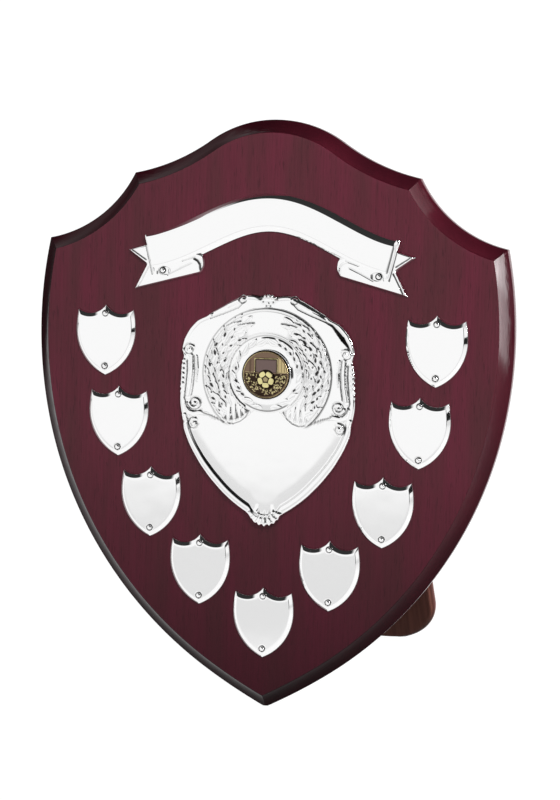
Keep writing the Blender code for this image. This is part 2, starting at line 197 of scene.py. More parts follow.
# %% [markdown]
# ## Colours and shader nodes
# Colours are picked as sRGB hex values, as any paint chart gives them, and a shader wants them linear.
# One function does that. One more adds a node with its settings and its links, so that each material
# reads from top to bottom like a recipe. Four settings come back often: a Mix node that mixes colours, a
# Map Range that eases in and out, and a Math node that multiplies, or multiplies and then adds.


# %% Colour and node helpers
IN_COLOUR = {"data_type": "RGBA"}
EASED = {"interpolation_type": "SMOOTHSTEP"}
TIMES = {"operation": "MULTIPLY"}
TIMES_PLUS = {"operation": "MULTIPLY_ADD"}


def linear(hex_colour):
    """The linear value of an sRGB hex colour: a straight line near black, and a power of 2.4 above it."""
    shares = [int(hex_colour[i : i + 2], 16) / 255 for i in (0, 2, 4)]
    return tuple(x / 12.92 if x <= 0.04045 else ((x + 0.055) / 1.055) ** 2.4 for x in shares) + (1.0,)


def add_node(tree, kind, settings=None, **inputs):
    """A node of one kind. Settings are its own properties. Inputs are named sockets with underscores for
    spaces, each either a value or another node's output, and a name like B_7 means socket number 7."""
    node = tree.nodes.new(kind)
    for name, value in (settings or {}).items():
        setattr(node, name, value)
    for name, value in inputs.items():
        number = name.rsplit("_", 1)[-1]
        socket = node.inputs[int(number)] if number.isdigit() else node.inputs[name.replace("_", " ")]
        if isinstance(value, bpy.types.NodeSocket):
            tree.links.new(value, socket)
        else:
            socket.default_value = value
    return node


def new_material(name):
    """An empty material with a Principled shader wired to its output, and that shader."""
    material = bpy.data.materials.new(name)
    material.use_nodes = True
    return material, material.node_tree, material.node_tree.nodes["Principled BSDF"]


print("half grey on a screen, 808080, is linear", round(linear("808080")[0], 3))


# %% [markdown]
# ## Studio
# Polished silver shows nothing but its surroundings, so the studio is most of its look. The photograph
# tells what stood there. Flat silver looks to the front left, just above the table, and is white: a wide
# white wall of light. Edges that look up and to the right are nearly black: nothing hangs overhead, and
# the corner beside the camera is dark. So the sky is a wall that darkens where it rises and leans right,
# and a trace towards its foot, with two soft dark patches, one beside the camera and one far back left.

# %% The sky
DARK_CORNER = (0.574, -0.819, 0.0)
LEFT_BACK = (-0.707, 0.707, 0.0)

view_settings = bpy.context.scene.view_settings
view_settings.view_transform = "Standard"

world = bpy.data.worlds.new("studio")
world.use_nodes = True
bpy.context.scene.world = world
sky = world.node_tree
sky.nodes.clear()
direction = add_node(sky, "ShaderNodeTexCoord").outputs["Generated"]
parts = add_node(sky, "ShaderNodeSeparateXYZ", Vector=direction)
lowered_right = add_node(sky, "ShaderNodeMath", TIMES_PLUS,
                         B_0=parts.outputs["X"], B_1=0.4, B_2=parts.outputs["Z"])
walls = add_node(sky, "ShaderNodeMapRange", EASED,
                 Value=lowered_right.outputs["Value"], From_Min=0.48, From_Max=0.66, To_Min=1.0, To_Max=0.03)
foot_of_wall = add_node(sky, "ShaderNodeMapRange", Value=parts.outputs["Z"],
                        From_Min=0.0, From_Max=0.023, To_Min=0.79, To_Max=0.98)


def patch_of_wall(way, starts, full, dimmed):
    """A soft round patch of the walls. Starts and full are cosines of the angle from its middle."""
    closeness = add_node(sky, "ShaderNodeVectorMath", {"operation": "DOT_PRODUCT"}, B_0=direction, B_1=way)
    return add_node(sky, "ShaderNodeMapRange", EASED, Value=closeness.outputs["Value"],
                    From_Min=starts, From_Max=full, To_Min=1.0, To_Max=dimmed).outputs["Result"]


corner = patch_of_wall(DARK_CORNER, starts=0.93, full=0.98, dimmed=0.05)
far_left = patch_of_wall(LEFT_BACK, starts=0.74, full=0.93, dimmed=0.12)
glow = walls.outputs["Result"]
for share in (corner, far_left, foot_of_wall.outputs["Result"]):
    glow = add_node(sky, "ShaderNodeMath", TIMES, B_0=glow, B_1=share).outputs["Value"]
background = add_node(sky, "ShaderNodeBackground", Color=linear("ffffff"), Strength=glow)
add_node(sky, "ShaderNodeOutputWorld", Surface=background.outputs["Background"])
print("nodes of the sky:", len(sky.nodes))

# %% [markdown]
# Edges that look straight right are white again, and the right bevel has a bright soft streak that fades
# downwards: a tall softbox at the right, a hand above the table, brightest in its middle. Three lights
# make it up, each given by its low edge, its high edge and its strength. A small key light from the upper
# right in front, hidden from the mirrors, lifts the wood.

# %% The softboxes
SIDE_BOX_X, SIDE_BOX_Y, SIDE_BOX_WIDTH = 0.70, 0.33, 0.72
SIDE_BOX_BANDS = ((0.10, 0.26, 20.0), (0.26, 0.60, 46.0), (0.60, 0.90, 4.0))
KEY_PLACE, KEY_AIM, KEY_SIZE, KEY_STRENGTH = (0.35, -0.60, 0.80), (0.0, 0.0, 0.24), 0.36, 13.0


def softbox(name, place, looks_at, width, tall, strength, in_mirrors=True):
    """A rectangular light at a place, facing a point. Strength is its brightness next to white, and the
    watts that Blender wants are that brightness times its area times pi."""
    data = bpy.data.lights.new(name, "AREA")
    data.shape = "RECTANGLE"
    data.size, data.size_y = width, tall
    data.energy = strength * width * tall * math.pi
    lamp = bpy.data.objects.new(name, data)
    lamp.location = place
    lamp.rotation_euler = (Vector(looks_at) - Vector(place)).to_track_quat("-Z", "Y").to_euler()
    lamp.visible_glossy = in_mirrors
    lamp.visible_camera = False
    bpy.context.scene.collection.objects.link(lamp)
    return lamp


for low, high, strength in SIDE_BOX_BANDS:
    middle_up = (low + high) / 2
    softbox("side softbox", (SIDE_BOX_X, SIDE_BOX_Y, middle_up), (0.0, SIDE_BOX_Y, middle_up),
            SIDE_BOX_WIDTH, high - low, strength)
softbox("key", KEY_PLACE, KEY_AIM, KEY_SIZE, KEY_SIZE, KEY_STRENGTH, in_mirrors=False)

# %% [markdown]
# The camera sees a plain white room: a white sheet and white walls, the same from every side. The mirrors
# need more. In them the sheet is less lit far back on the left and in front, where they looked past the
# lamps. A white sheet also throws light up under the trim and on to the foot of the board, yet in the
# photograph the board's foot stays deep red. So there are three flat cards in one place: one for the
# camera, one for the mirrors, and a greyer one for the soft light. A black flag beside the side softbox
# gives the right edge of each small shield one crisp dark accent.

# %% Table, room and flag
FLOOR_HALF = 9.0
FLOOR_DROP = -0.0002
TABLE_GLOW = 0.93
FLAG_X = 0.66
FLAG_Y = (-0.62, -0.10)
FLAG_Z = (0.160, 0.226)


def flat_card(name, corners, colour, roughness=0.7, glow=0.0, faces=((0, 1, 2, 3),)):
    """A stage piece of flat faces, its nodes and its shader. Glow is the white that it gives by itself."""
    material, tree, shader = new_material(name)
    shader.inputs["Base Color"].default_value = linear(colour)
    shader.inputs["Roughness"].default_value = roughness
    shader.inputs["Emission Color"].default_value = linear("ffffff")
    shader.inputs["Emission Strength"].default_value = glow
    mesh = bpy.data.meshes.new(name)
    mesh.from_pydata(corners, [], faces)
    mesh.materials.append(material)
    card = bpy.data.objects.new(name, mesh)
    bpy.context.scene.collection.objects.link(card)
    return card, tree, shader


def table_corners(drop):
    """Four corners of a large level square."""
    return [(x * FLOOR_HALF, y * FLOOR_HALF, drop) for x, y in ((-1, -1), (1, -1), (1, 1), (-1, 1))]


table, _, _ = flat_card("white_table", table_corners(FLOOR_DROP), "686868", glow=TABLE_GLOW)
table.visible_diffuse = table.visible_glossy = False
room_corners = [(x, y, z) for x, y, _ in table_corners(0.0) for z in (FLOOR_DROP, FLOOR_HALF)]
room_faces = [(0, 2, 3, 1), (2, 4, 5, 3), (4, 6, 7, 5), (6, 0, 1, 7), (1, 3, 5, 7)]
room, _, _ = flat_card("white_wall", room_corners, "000000", glow=1.0, faces=room_faces)
room.visible_diffuse = room.visible_glossy = room.visible_shadow = False
mirrored, tree, shader = flat_card("mirrored_table", table_corners(FLOOR_DROP), "686868")
mirrored.visible_diffuse = mirrored.visible_camera = False
bounce, _, _ = flat_card("table_bounce", table_corners(2 * FLOOR_DROP), "4c4c4c")
bounce.visible_camera = bounce.visible_glossy = False
flag_corners = [(FLAG_X, FLAG_Y[along], FLAG_Z[up]) for along, up in ((0, 0), (1, 0), (1, 1), (0, 1))]
flag, _, _ = flat_card("black_flag", flag_corners, "0a0a0a", roughness=0.9)
flag.visible_camera = flag.visible_diffuse = False
print("cards:", [card.name for card in (table, room, mirrored, bounce, flag)])

# %% [markdown]
# The mirrors' card glows by its place. Two factors, one that falls off to the left and one that rises
# towards the back, multiply to the dim corner. A third lowers the glow a little in front.

# %% The table in the mirrors
place = add_node(tree, "ShaderNodeSeparateXYZ", Vector=add_node(tree, "ShaderNodeTexCoord").outputs["Object"])
leftwards = add_node(tree, "ShaderNodeMath", TIMES_PLUS,
                     B_0=place.outputs["Y"], B_1=0.35, B_2=place.outputs["X"])
left_side = add_node(tree, "ShaderNodeMapRange", EASED, Value=leftwards.outputs["Value"],
                     From_Min=-0.95, From_Max=-0.55, To_Min=1.0, To_Max=0.0)
far_back = add_node(tree, "ShaderNodeMapRange", EASED, Value=place.outputs["Y"],
                    From_Min=-0.10, From_Max=0.40)
dim = add_node(tree, "ShaderNodeMath", TIMES, B_0=left_side.outputs["Result"], B_1=far_back.outputs["Result"])
lit = add_node(tree, "ShaderNodeMapRange", Value=dim.outputs["Value"], To_Min=TABLE_GLOW, To_Max=0.0)
in_front = add_node(tree, "ShaderNodeMapRange", EASED, Value=place.outputs["Y"],
                    From_Min=-1.30, From_Max=-0.15, To_Min=0.71, To_Max=1.0)
table_light = add_node(tree, "ShaderNodeMath", TIMES,
                       B_0=lit.outputs["Result"], B_1=in_front.outputs["Result"])
tree.links.new(table_light.outputs["Value"], shader.inputs["Emission Strength"])
print("nodes of the mirrors' card:", len(tree.nodes))

# %% [markdown]
# ## Finishes
# Four finishes cover the object: two woods, silver and bronze. Both woods have a grain that runs along the
# plate, and the plates lean, so a pattern's coordinates are first turned upright with a Mapping node and
# then squeezed across the grain.


# %% Patterns along the grain
def stretched(tree, width, length, lean=LEAN):
    """Object coordinates turned upright with the lean, in units of one grain line: width across it and
    length along it, both in millimetres."""
    place = add_node(tree, "ShaderNodeTexCoord").outputs["Object"]
    upright = add_node(tree, "ShaderNodeMapping", Vector=place, Rotation=(lean, 0.0, 0.0))
    scale = (1 / (width * MM), 1 / (width * MM), 1 / (length * MM))
    squeezed = add_node(tree, "ShaderNodeMapping", Vector=upright.outputs["Vector"], Scale=scale)
    return squeezed.outputs["Vector"]


# %% [markdown]
# The board is veneered, and the veneer is stained a deep rosewood red under satin lacquer. Each pattern
# has a width and a length in millimetres: the flame of the veneer, its fine grain lines, and its pores,
# drawn a little coarser than life so that they show. The routed edge takes up more stain than the veneer
# does, so a mark on the mesh tells the face from the edge.

# %% Rosewood stain under satin lacquer
FLAME_SIZE = (14.0, 90.0)
GRAIN_SIZE = (0.9, 26.0)
PORE_SIZE = (0.55, 7.0)
PORE_DEPTH = 0.06
FOOT_SHADE_HEIGHT = 140.0


def rosewood_lacquer():
    """Stained veneer: a slow red and brown flame, fine lines along the grain, short dark pores, and towards
    the foot painted shade, a darker colour with less shine. Where the routed mark is 1 the stain is darker
    and smoother."""
    material, tree, shader = new_material("rosewood_lacquer")
    flame, lines, pores = (
        add_node(tree, "ShaderNodeTexNoise", Vector=stretched(tree, *size), Scale=1.0, Detail=detail)
        for size, detail in ((FLAME_SIZE, 3.0), (GRAIN_SIZE, 4.0), (PORE_SIZE, 1.0)))
    flame_share = add_node(tree, "ShaderNodeMapRange", Value=flame.outputs["Fac"],
                           From_Min=0.35, From_Max=0.65)
    veneer = add_node(tree, "ShaderNodeMix", IN_COLOUR, Factor_0=flame_share.outputs["Result"],
                      A_6=linear("55232c"), B_7=linear("652033"))
    line_share = add_node(tree, "ShaderNodeMapRange", Value=lines.outputs["Fac"],
                          From_Min=0.40, From_Max=0.72, To_Min=0.0, To_Max=0.36)
    lined = add_node(tree, "ShaderNodeMix", IN_COLOUR, Factor_0=line_share.outputs["Result"],
                     A_6=veneer.outputs[2], B_7=linear("43141e"))
    pore_share = add_node(tree, "ShaderNodeMapRange", Value=pores.outputs["Fac"],
                          From_Min=0.63, From_Max=0.72, To_Min=0.0, To_Max=0.4)
    pored = add_node(tree, "ShaderNodeMix", IN_COLOUR, Factor_0=pore_share.outputs["Result"],
                     A_6=lined.outputs[2], B_7=linear("260b11"))
    # Painted shade: over the lowest 140 mm the colour darkens and the shine fades towards the foot.
    place = add_node(tree, "ShaderNodeTexCoord").outputs["Object"]
    height = add_node(tree, "ShaderNodeSeparateXYZ", Vector=place).outputs["Z"]
    foot = add_node(tree, "ShaderNodeMapRange", Value=height, From_Min=0.0, From_Max=FOOT_SHADE_HEIGHT * MM,
                    To_Min=0.75, To_Max=0.0).outputs["Result"]
    shaded_foot = add_node(tree, "ShaderNodeMix", IN_COLOUR, Factor_0=foot,
                        A_6=pored.outputs[2], B_7=linear("2b0812"))
    edge = add_node(tree, "ShaderNodeAttribute", {"attribute_name": "routed"}).outputs["Fac"]
    edge_tone = add_node(tree, "ShaderNodeMix", IN_COLOUR, Factor_0=flame_share.outputs["Result"],
                         A_6=linear("280910"), B_7=linear("2e0a12"))
    colour = add_node(tree, "ShaderNodeMix", IN_COLOUR, Factor_0=edge,
                      A_6=shaded_foot.outputs[2], B_7=edge_tone.outputs[2])
    tree.links.new(colour.outputs[2], shader.inputs["Base Color"])
    gloss = add_node(tree, "ShaderNodeMapRange", Value=edge, To_Min=0.36, To_Max=0.14)
    tree.links.new(gloss.outputs["Result"], shader.inputs["Roughness"])
    shader.inputs["IOR"].default_value = 1.5
    shine = add_node(tree, "ShaderNodeMapRange", Value=edge, To_Min=0.25, To_Max=0.065)
    shine_left = add_node(tree, "ShaderNodeMath", TIMES_PLUS, B_0=foot, B_1=-0.75, B_2=1.0)
    shine = add_node(tree, "ShaderNodeMath", TIMES,
                     B_0=shine.outputs["Result"], B_1=shine_left.outputs["Value"])
    tree.links.new(shine.outputs["Value"], shader.inputs["Specular IOR Level"])
    on_veneer = add_node(tree, "ShaderNodeMath", {"operation": "SUBTRACT"}, B_0=1.0, B_1=edge)
    bump = add_node(tree, "ShaderNodeBump", Strength=on_veneer.outputs["Value"],
                    Distance=PORE_DEPTH * MM, Height=pores.outputs["Fac"])
    tree.links.new(bump.outputs["Normal"], shader.inputs["Normal"])
    return material


rosewood = rosewood_lacquer()
print("nodes of the rosewood:", len(rosewood.node_tree.nodes))

# %% [markdown]
# The strut is solid wood with a dark brown stain and a thin satin lacquer. It is plainer than the face:
# faint lines run along its length and nothing else. Its inner side, which stands in the board's shade, is
# painted lighter, as painted light. The back and the edges are painted darker, as painted shade, so they
# stay dark where the light falls on them, and the way that a face looks, its normal, tells the one from the
# other.


# %% Dark stained wood
STRUT_LEAN = math.radians(-28.0)
STRUT_GRAIN_SIZE = (2.2, 60.0)
# Painted light on the inner face, which stands in shade, and painted shade on the back and the edges.
PAINTED_LIGHT_INNER = ("7d5045", "643e36")
PAINTED_SHADE_OUTER = ("3a1b16", "2a130f")


def dark_stain():
    """A brown stain with soft darker lines along the length, with painted light on the faces that look
    forwards into the board's shade and painted shade on the faces that don't look forwards: the normal's Y
    runs from -1 in front to 1 behind."""
    material, tree, shader = new_material("dark_stained_wood")
    along_plate = stretched(tree, *STRUT_GRAIN_SIZE, STRUT_LEAN)
    lines = add_node(tree, "ShaderNodeTexNoise", Vector=along_plate, Scale=1.0, Detail=4.0)
    share = add_node(tree, "ShaderNodeMapRange", Value=lines.outputs["Fac"], From_Min=0.35, From_Max=0.7)
    inner_lit, outer_shaded = (add_node(tree, "ShaderNodeMix", IN_COLOUR, Factor_0=share.outputs["Result"],
                            A_6=linear(light), B_7=linear(dark)).outputs[2]
                   for light, dark in (PAINTED_LIGHT_INNER, PAINTED_SHADE_OUTER))
    normal = add_node(tree, "ShaderNodeNewGeometry").outputs["Normal"]
    facing = add_node(tree, "ShaderNodeSeparateXYZ", Vector=normal).outputs["Y"]
    outer_share = add_node(tree, "ShaderNodeMapRange", EASED, Value=facing, From_Min=-0.86, From_Max=-0.50)
    colour = add_node(tree, "ShaderNodeMix", IN_COLOUR, Factor_0=outer_share.outputs["Result"], A_6=inner_lit, B_7=outer_shaded)
    tree.links.new(colour.outputs[2], shader.inputs["Base Color"])
    gloss = add_node(tree, "ShaderNodeMapRange", Value=lines.outputs["Fac"], To_Min=0.34, To_Max=0.46)
    tree.links.new(gloss.outputs["Result"], shader.inputs["Roughness"])
    shader.inputs["IOR"].default_value = 1.5
    shader.inputs["Specular IOR Level"].default_value = 0.05
    return material


brown_wood = dark_stain()
print("nodes of the brown wood:", len(brown_wood.node_tree.nodes))

# %% [markdown]
# The trim is thin brass sheet, pressed over a die and silver plated, then polished. Plating gives a bright
# mirror, hardly warm. Real sheet is never quite flat after pressing, so a faint wave goes into its bump,
# with a finer one for buffing. A recess mark paints dark grey into pits, grooves and lines: a little grime
# round the pins, and for the most part painted shade and painted reflection.


# %% Polished silver plate
WAVE_SIZE = 14.0
WAVE_DEPTH = 0.15
BUFF_SIZE = 2.5


def silver_plate():
    """A bright metal mirror with the slight waves of pressed sheet, and dark grey where the recess mark is
    set:
    partly grime, mostly painted shade and painted reflection.
    """
    material, tree, shader = new_material("polished_silver_plate")
    place = add_node(tree, "ShaderNodeTexCoord").outputs["Object"]
    waves = add_node(tree, "ShaderNodeTexNoise", Vector=place, Scale=1 / (WAVE_SIZE * MM), Detail=1.0)
    buffing = add_node(tree, "ShaderNodeTexNoise", Vector=place, Scale=1 / (BUFF_SIZE * MM), Detail=3.0)
    recess = add_node(tree, "ShaderNodeAttribute", {"attribute_name": "recess"}).outputs["Fac"]
    # The recess mark mixes in dark grey: painted shade and painted reflection, with a little grime.
    colour = add_node(tree, "ShaderNodeMix", IN_COLOUR, Factor_0=recess,
                      A_6=linear("fbfbfb"), B_7=linear("1c1918"))
    tree.links.new(colour.outputs[2], shader.inputs["Base Color"])
    gloss = add_node(tree, "ShaderNodeMapRange", Value=buffing.outputs["Fac"], To_Min=0.03, To_Max=0.08)
    dull = add_node(tree, "ShaderNodeMath", TIMES_PLUS,
                    B_0=recess, B_1=0.4, B_2=gloss.outputs["Result"])
    tree.links.new(dull.outputs["Value"], shader.inputs["Roughness"])
    shader.inputs["Metallic"].default_value = 1.0
    bump = add_node(tree, "ShaderNodeBump", Strength=0.25, Distance=WAVE_DEPTH * MM,
                    Height=waves.outputs["Fac"])
    tree.links.new(bump.outputs["Normal"], shader.inputs["Normal"])
    return material


silver = silver_plate()
print("nodes of the silver:", len(silver.node_tree.nodes))

# %% [markdown]
# The disc is a die-struck bronze with an antique patina: dark brown lies in every recess, and the raised
# work is rubbed back to a pale, greenish gold. Three marks on the mesh steer it: how far each place is
# rubbed, where the net behind the goal gets a painted purple-brown shade, and where the right of the field
# gets a painted olive reflection.


# %% Antique bronze
def antique_bronze():
    """Brown patina where the rubbed mark is 0, the field's own tone at a half, and pale gold at 1."""
    material, tree, shader = new_material("antique_bronze")
    rubbed, shaded, olive_reflection = (
        add_node(tree, "ShaderNodeAttribute", {"attribute_name": mark}).outputs["Fac"]
        for mark in ("rubbed", "shaded", "olive_reflection"))
    field = add_node(tree, "ShaderNodeMix", IN_COLOUR, Factor_0=olive_reflection,
                     A_6=linear("826c5b"), B_7=linear("d4c08e"))
    shadow = add_node(tree, "ShaderNodeMix", IN_COLOUR, Factor_0=shaded,
                      A_6=field.outputs[2], B_7=linear("7a6864"))
    deep = add_node(tree, "ShaderNodeMapRange", Value=rubbed, From_Min=0.0, From_Max=0.5)
    patina = add_node(tree, "ShaderNodeMix", IN_COLOUR, Factor_0=deep.outputs["Result"],
                      A_6=linear("2c2018"), B_7=shadow.outputs[2])
    bright = add_node(tree, "ShaderNodeMapRange", Value=rubbed, From_Min=0.5, From_Max=1.0)
    colour = add_node(tree, "ShaderNodeMix", IN_COLOUR, Factor_0=bright.outputs["Result"],
                      A_6=patina.outputs[2], B_7=linear("ece2a4"))
    tree.links.new(colour.outputs[2], shader.inputs["Base Color"])
    gloss = add_node(tree, "ShaderNodeMapRange", Value=rubbed, To_Min=0.5, To_Max=0.28)
    tree.links.new(gloss.outputs["Result"], shader.inputs["Roughness"])
    shader.inputs["Metallic"].default_value = 1.0
    return material


bronze = antique_bronze()
print("finishes:", [m.name for m in (rosewood, brown_wood, silver, bronze)])

# %% [markdown]
# ## Outlines made of arcs
# A pattern maker draws a shield with compasses, and so does this lesson. Flat places are complex numbers
# here, across plus up times i, because turning and measuring them is then plain arithmetic. An outline is
# a list of arcs, and the same outline drawn further in only needs smaller radii on bulging arcs and
# larger ones on hollow arcs. That gives every ring of a bevel from one drawing.


# %% Circles
def crossing(first, second, near):
    """Where two circles meet, nearest to a place: a step along the line of centres, then one square to it."""
    (centre, radius), (other, other_radius) = first, second
    gap = abs(other - centre)
    way = (other - centre) / gap
    along = (gap**2 + radius**2 - other_radius**2) / (2 * gap)
    aside = math.sqrt(max(radius**2 - along**2, 0.0))
    spots = (centre + way * complex(along, aside), centre + way * complex(along, -aside))
    return min(spots, key=lambda spot: abs(spot - near))


def on_centre_line(circle, near):
    """Where a circle crosses the centre line, on the side of a place."""
    centre, radius = circle
    rise = math.sqrt(radius**2 - centre.real**2)
    return complex(0.0, min((centre.imag + rise, centre.imag - rise), key=lambda up: abs(up - near.imag)))


def circle_through(first, second, third):
    """The circle through three places, from the crossing of two perpendicular bisectors."""
    a, b = second - first, third - first
    cross = 2 * (a.real * b.imag - a.imag * b.real)
    offset = 1j * (b * abs(a) ** 2 - a * abs(b) ** 2) / cross
    return first - offset, abs(offset)


print("the circle through 1, i and -1:", circle_through(1 + 0j, 1j, -1 + 0j))

# %% [markdown]
# With these an outline can be drawn. The arcs of its right half run from the centre line at the top to the
# centre line at the foot, and each meets the next where their circles cross. The left half is the mirror
# image, which for a complex number is its conjugate with the sign turned.


# %% Outlines
def arc_points(circle, start, end, count):
    """Places on a circle from start up to, but without, end, the short way round."""
    centre, radius = circle
    first = np.angle(start - centre)
    turn = (np.angle(end - centre) - first + np.pi) % (2 * np.pi) - np.pi
    return centre + radius * np.exp(1j * (first + turn * np.arange(count) / count))


def arc_outline(arcs, corners, inset):
    """A closed symmetric outline drawn inset. Each arc is its centre, its radius, 1 if it bulges or -1 if
    it is hollow, and its count of steps. The corners are where they meet at no inset."""
    circles = [(centre, radius - bulge * inset) for centre, radius, bulge, _ in arcs]
    ends = [on_centre_line(circles[0], corners[0])]
    ends += [crossing(*pair) for pair in zip(circles, circles[1:], corners[1:])]
    ends.append(on_centre_line(circles[-1], corners[-1]))
    half = [arc_points(circle, start, end, count)
            for circle, start, end, (*_, count) in zip(circles, ends, ends[1:], arcs)]
    half = np.concatenate([*half, ends[-1:]])
    return np.concatenate([half, -np.conj(half[-2:0:-1])])


print("a quarter circle in three steps:", arc_points((0j, 1.0), 1 + 0j, 1j, 3).round(2))


# %% [markdown]
# The section across a pressed edge or a bevel is a line too, and no real edge is quite sharp. A Bevel
# modifier would round every edge alike, while here each corner of the section gets its own radius.


# %% Rounded corners
def rounded(corners, radii, steps=5):
    """A line of places whose corners are arcs. Each arc leaves the line at the radius times the tangent of
    half the turn before the corner, and is read off a quadratic curve through the corner."""
    line = [corners[0]]
    for before, here, after, radius in zip(corners, corners[1:], corners[2:], radii):
        back, on = (before - here) / abs(before - here), (after - here) / abs(after - here)
        turn = math.pi - abs(np.angle(on / back))
        reach = min(radius * math.tan(turn / 2), 0.49 * abs(before - here), 0.49 * abs(after - here))
        for share in np.linspace(0.0, 1.0, steps):
            line.append(here + reach * ((1 - share) ** 2 * back + share**2 * on))
    return np.array([*line, corners[-1]])


print("a right angle rounded to 0.5:", rounded([0j, 1 + 0j, 1 + 1j], [0.5]).round(2))


# %% [markdown]
# ## The board
# The real board is 15 mm fibreboard with a veneered face, cut to the shield outline and routed with a
# hollow bevel. A Bevel modifier can't hollow its slope, so the bevel is drawn as a profile: inset from the
# outline against distance in front of the face. Its two arrises are eased a little, as sanding and lacquer
# leave them, and that thin round is what catches the fine bright line along the right side.

# %% The board's outline
CREST_RADIUS = 61.4
NECK_RADIUS = 106.6
SHOULDER = 76.6 + 282.2j
SCOOP_RADIUS = 66.4
OUTER_SHOULDER = 122.7 + 246.8j
SIDE_CENTRE = -101.5 + 199.7j
SIDE_RADIUS = 229.4
SIDE_TURN = math.radians(-12.7)
FLANK_RADIUS = 212.0
FLANK_TURN = math.radians(-56.2)
POINT_RADIUS = 301.2

crest = 1j * (BOARD_HEIGHT - CREST_RADIUS)
neck = crossing((crest, CREST_RADIUS + NECK_RADIUS), (SHOULDER, NECK_RADIUS), NECK_RADIUS * (1 + 4j))
scoop_chord = OUTER_SHOULDER - SHOULDER
scoop_rise = math.sqrt(SCOOP_RADIUS**2 - abs(scoop_chord) ** 2 / 4)
scoop = (SHOULDER + OUTER_SHOULDER) / 2 + 1j * scoop_chord / abs(scoop_chord) * scoop_rise
side_way, flank_way = np.exp(1j * SIDE_TURN), np.exp(1j * FLANK_TURN)
flank = SIDE_CENTRE + side_way * (SIDE_RADIUS - FLANK_RADIUS)
point = flank + flank_way * (FLANK_RADIUS - POINT_RADIUS)
BOARD_ARCS = [
    (crest, CREST_RADIUS, 1, 30),
    (neck, NECK_RADIUS, -1, 26),
    (scoop, SCOOP_RADIUS, -1, 34),
    (SIDE_CENTRE, SIDE_RADIUS, 1, 40),
    (flank, FLANK_RADIUS, 1, 64),
    (point, POINT_RADIUS, 1, 26),
]
BOARD_CORNERS = [
    1j * BOARD_HEIGHT,
    crest + (neck - crest) * CREST_RADIUS / abs(neck - crest),
    SHOULDER,
    OUTER_SHOULDER,
    SIDE_CENTRE + side_way * SIDE_RADIUS,
    flank + flank_way * FLANK_RADIUS,
    0j,
]
board_edge = arc_outline(BOARD_ARCS, BOARD_CORNERS, 0.0)
print(f"board outline: {np.ptp(board_edge.real):.1f} by {np.ptp(board_edge.imag):.1f} mm")

# %% [markdown]
# The profile starts behind, runs round the eased back edge and up the rim, crosses the hollow bevel and
# ends a little way in on the flat face. At the foot the tip is trimmed level, so points under the table
# are simply raised to it.

# %% The board itself
BEVEL_HOLLOW = 0.5
BACK_EASE = 0.8
ARRIS = 0.45
FACE_MARGIN = 3.0

slope = np.linspace(0.0, 1.0, 13)
sag = BEVEL_HOLLOW * 4 * slope * (1 - slope)
slant = math.atan2(BEVEL_DEPTH, BEVEL_WIDTH)
bevel = BEVEL_WIDTH * slope + sag * math.sin(slant) + 1j * (BEVEL_DEPTH * (slope - 1) - sag * math.cos(slant))
profile_corners = [
    FACE_MARGIN - 1j * BOARD_THICKNESS,
    -1j * BOARD_THICKNESS,
    *bevel,
    BEVEL_WIDTH + FACE_MARGIN + 0j,
]
profile_eases = [BACK_EASE, ARRIS, *[0.01] * (len(bevel) - 2), ARRIS]
profile = rounded(profile_corners, profile_eases, steps=4)
board_rings = np.stack([
    on_board(ring.real, ring.imag, step.imag)
    for step in profile
    for ring in [arc_outline(BOARD_ARCS, BOARD_CORNERS, step.real)]
])
board_rings[..., 2] = np.maximum(board_rings[..., 2], 0.0)
on_face = (profile.real > BEVEL_WIDTH) & (profile.imag > -0.2)
routed = np.repeat(np.where(on_face, 0.0, 1.0), board_rings.shape[1])
board = make_piece("bevelled_board", [closed_shell(board_rings)], rosewood, ["board"],
                   sharp_above=24.0, marks={"routed": routed})
print("board:", triangles(board), "triangles")

# %% [markdown]
# ## The strut
# Behind the board stands a wooden plate with two large round corners at its foot and a full round edge. It
# is a stack of one outline: the rounded edge makes the outline shrink towards both faces. Two places fix
# its swing: the one on the board's back where it is joined, and its foot on the table.

# %% The strut's plate
STRUT_FOOT_BEHIND = 124.2
STRUT_WIDTH = 141.0
STRUT_THICKNESS = 9.0
STRUT_TAPER = math.radians(1.5)
STRUT_CORNER = 27.7
STRUT_EDGE_ROUND = 4.0
STRUT_TOP_UP = 185.0
STRUT_TRIM = 1.2
ABOVE_TOP = 30.0
GAP = 0.3

top_behind = BOARD_THICKNESS * math.cos(LEAN) + STRUT_TOP_UP * math.sin(LEAN)
top_height = LIFT - BOARD_THICKNESS * math.sin(LEAN) + STRUT_TOP_UP * math.cos(LEAN)
foot_behind = BOARD_THICKNESS * math.cos(LEAN) + STRUT_FOOT_BEHIND
swing = math.atan2(foot_behind - top_behind, top_height)
edge_drop = STRUT_EDGE_ROUND * (1 - math.sin(swing))
strut_length = (top_height + STRUT_TRIM - edge_drop) / math.cos(swing) + STRUT_EDGE_ROUND
foot_corner = complex(STRUT_WIDTH / 2 - STRUT_CORNER, STRUT_CORNER - strut_length)
side_run = (ABOVE_TOP - foot_corner.imag) * math.sin(STRUT_TAPER)
side_top = foot_corner.real + (STRUT_CORNER - side_run) / math.cos(STRUT_TAPER)

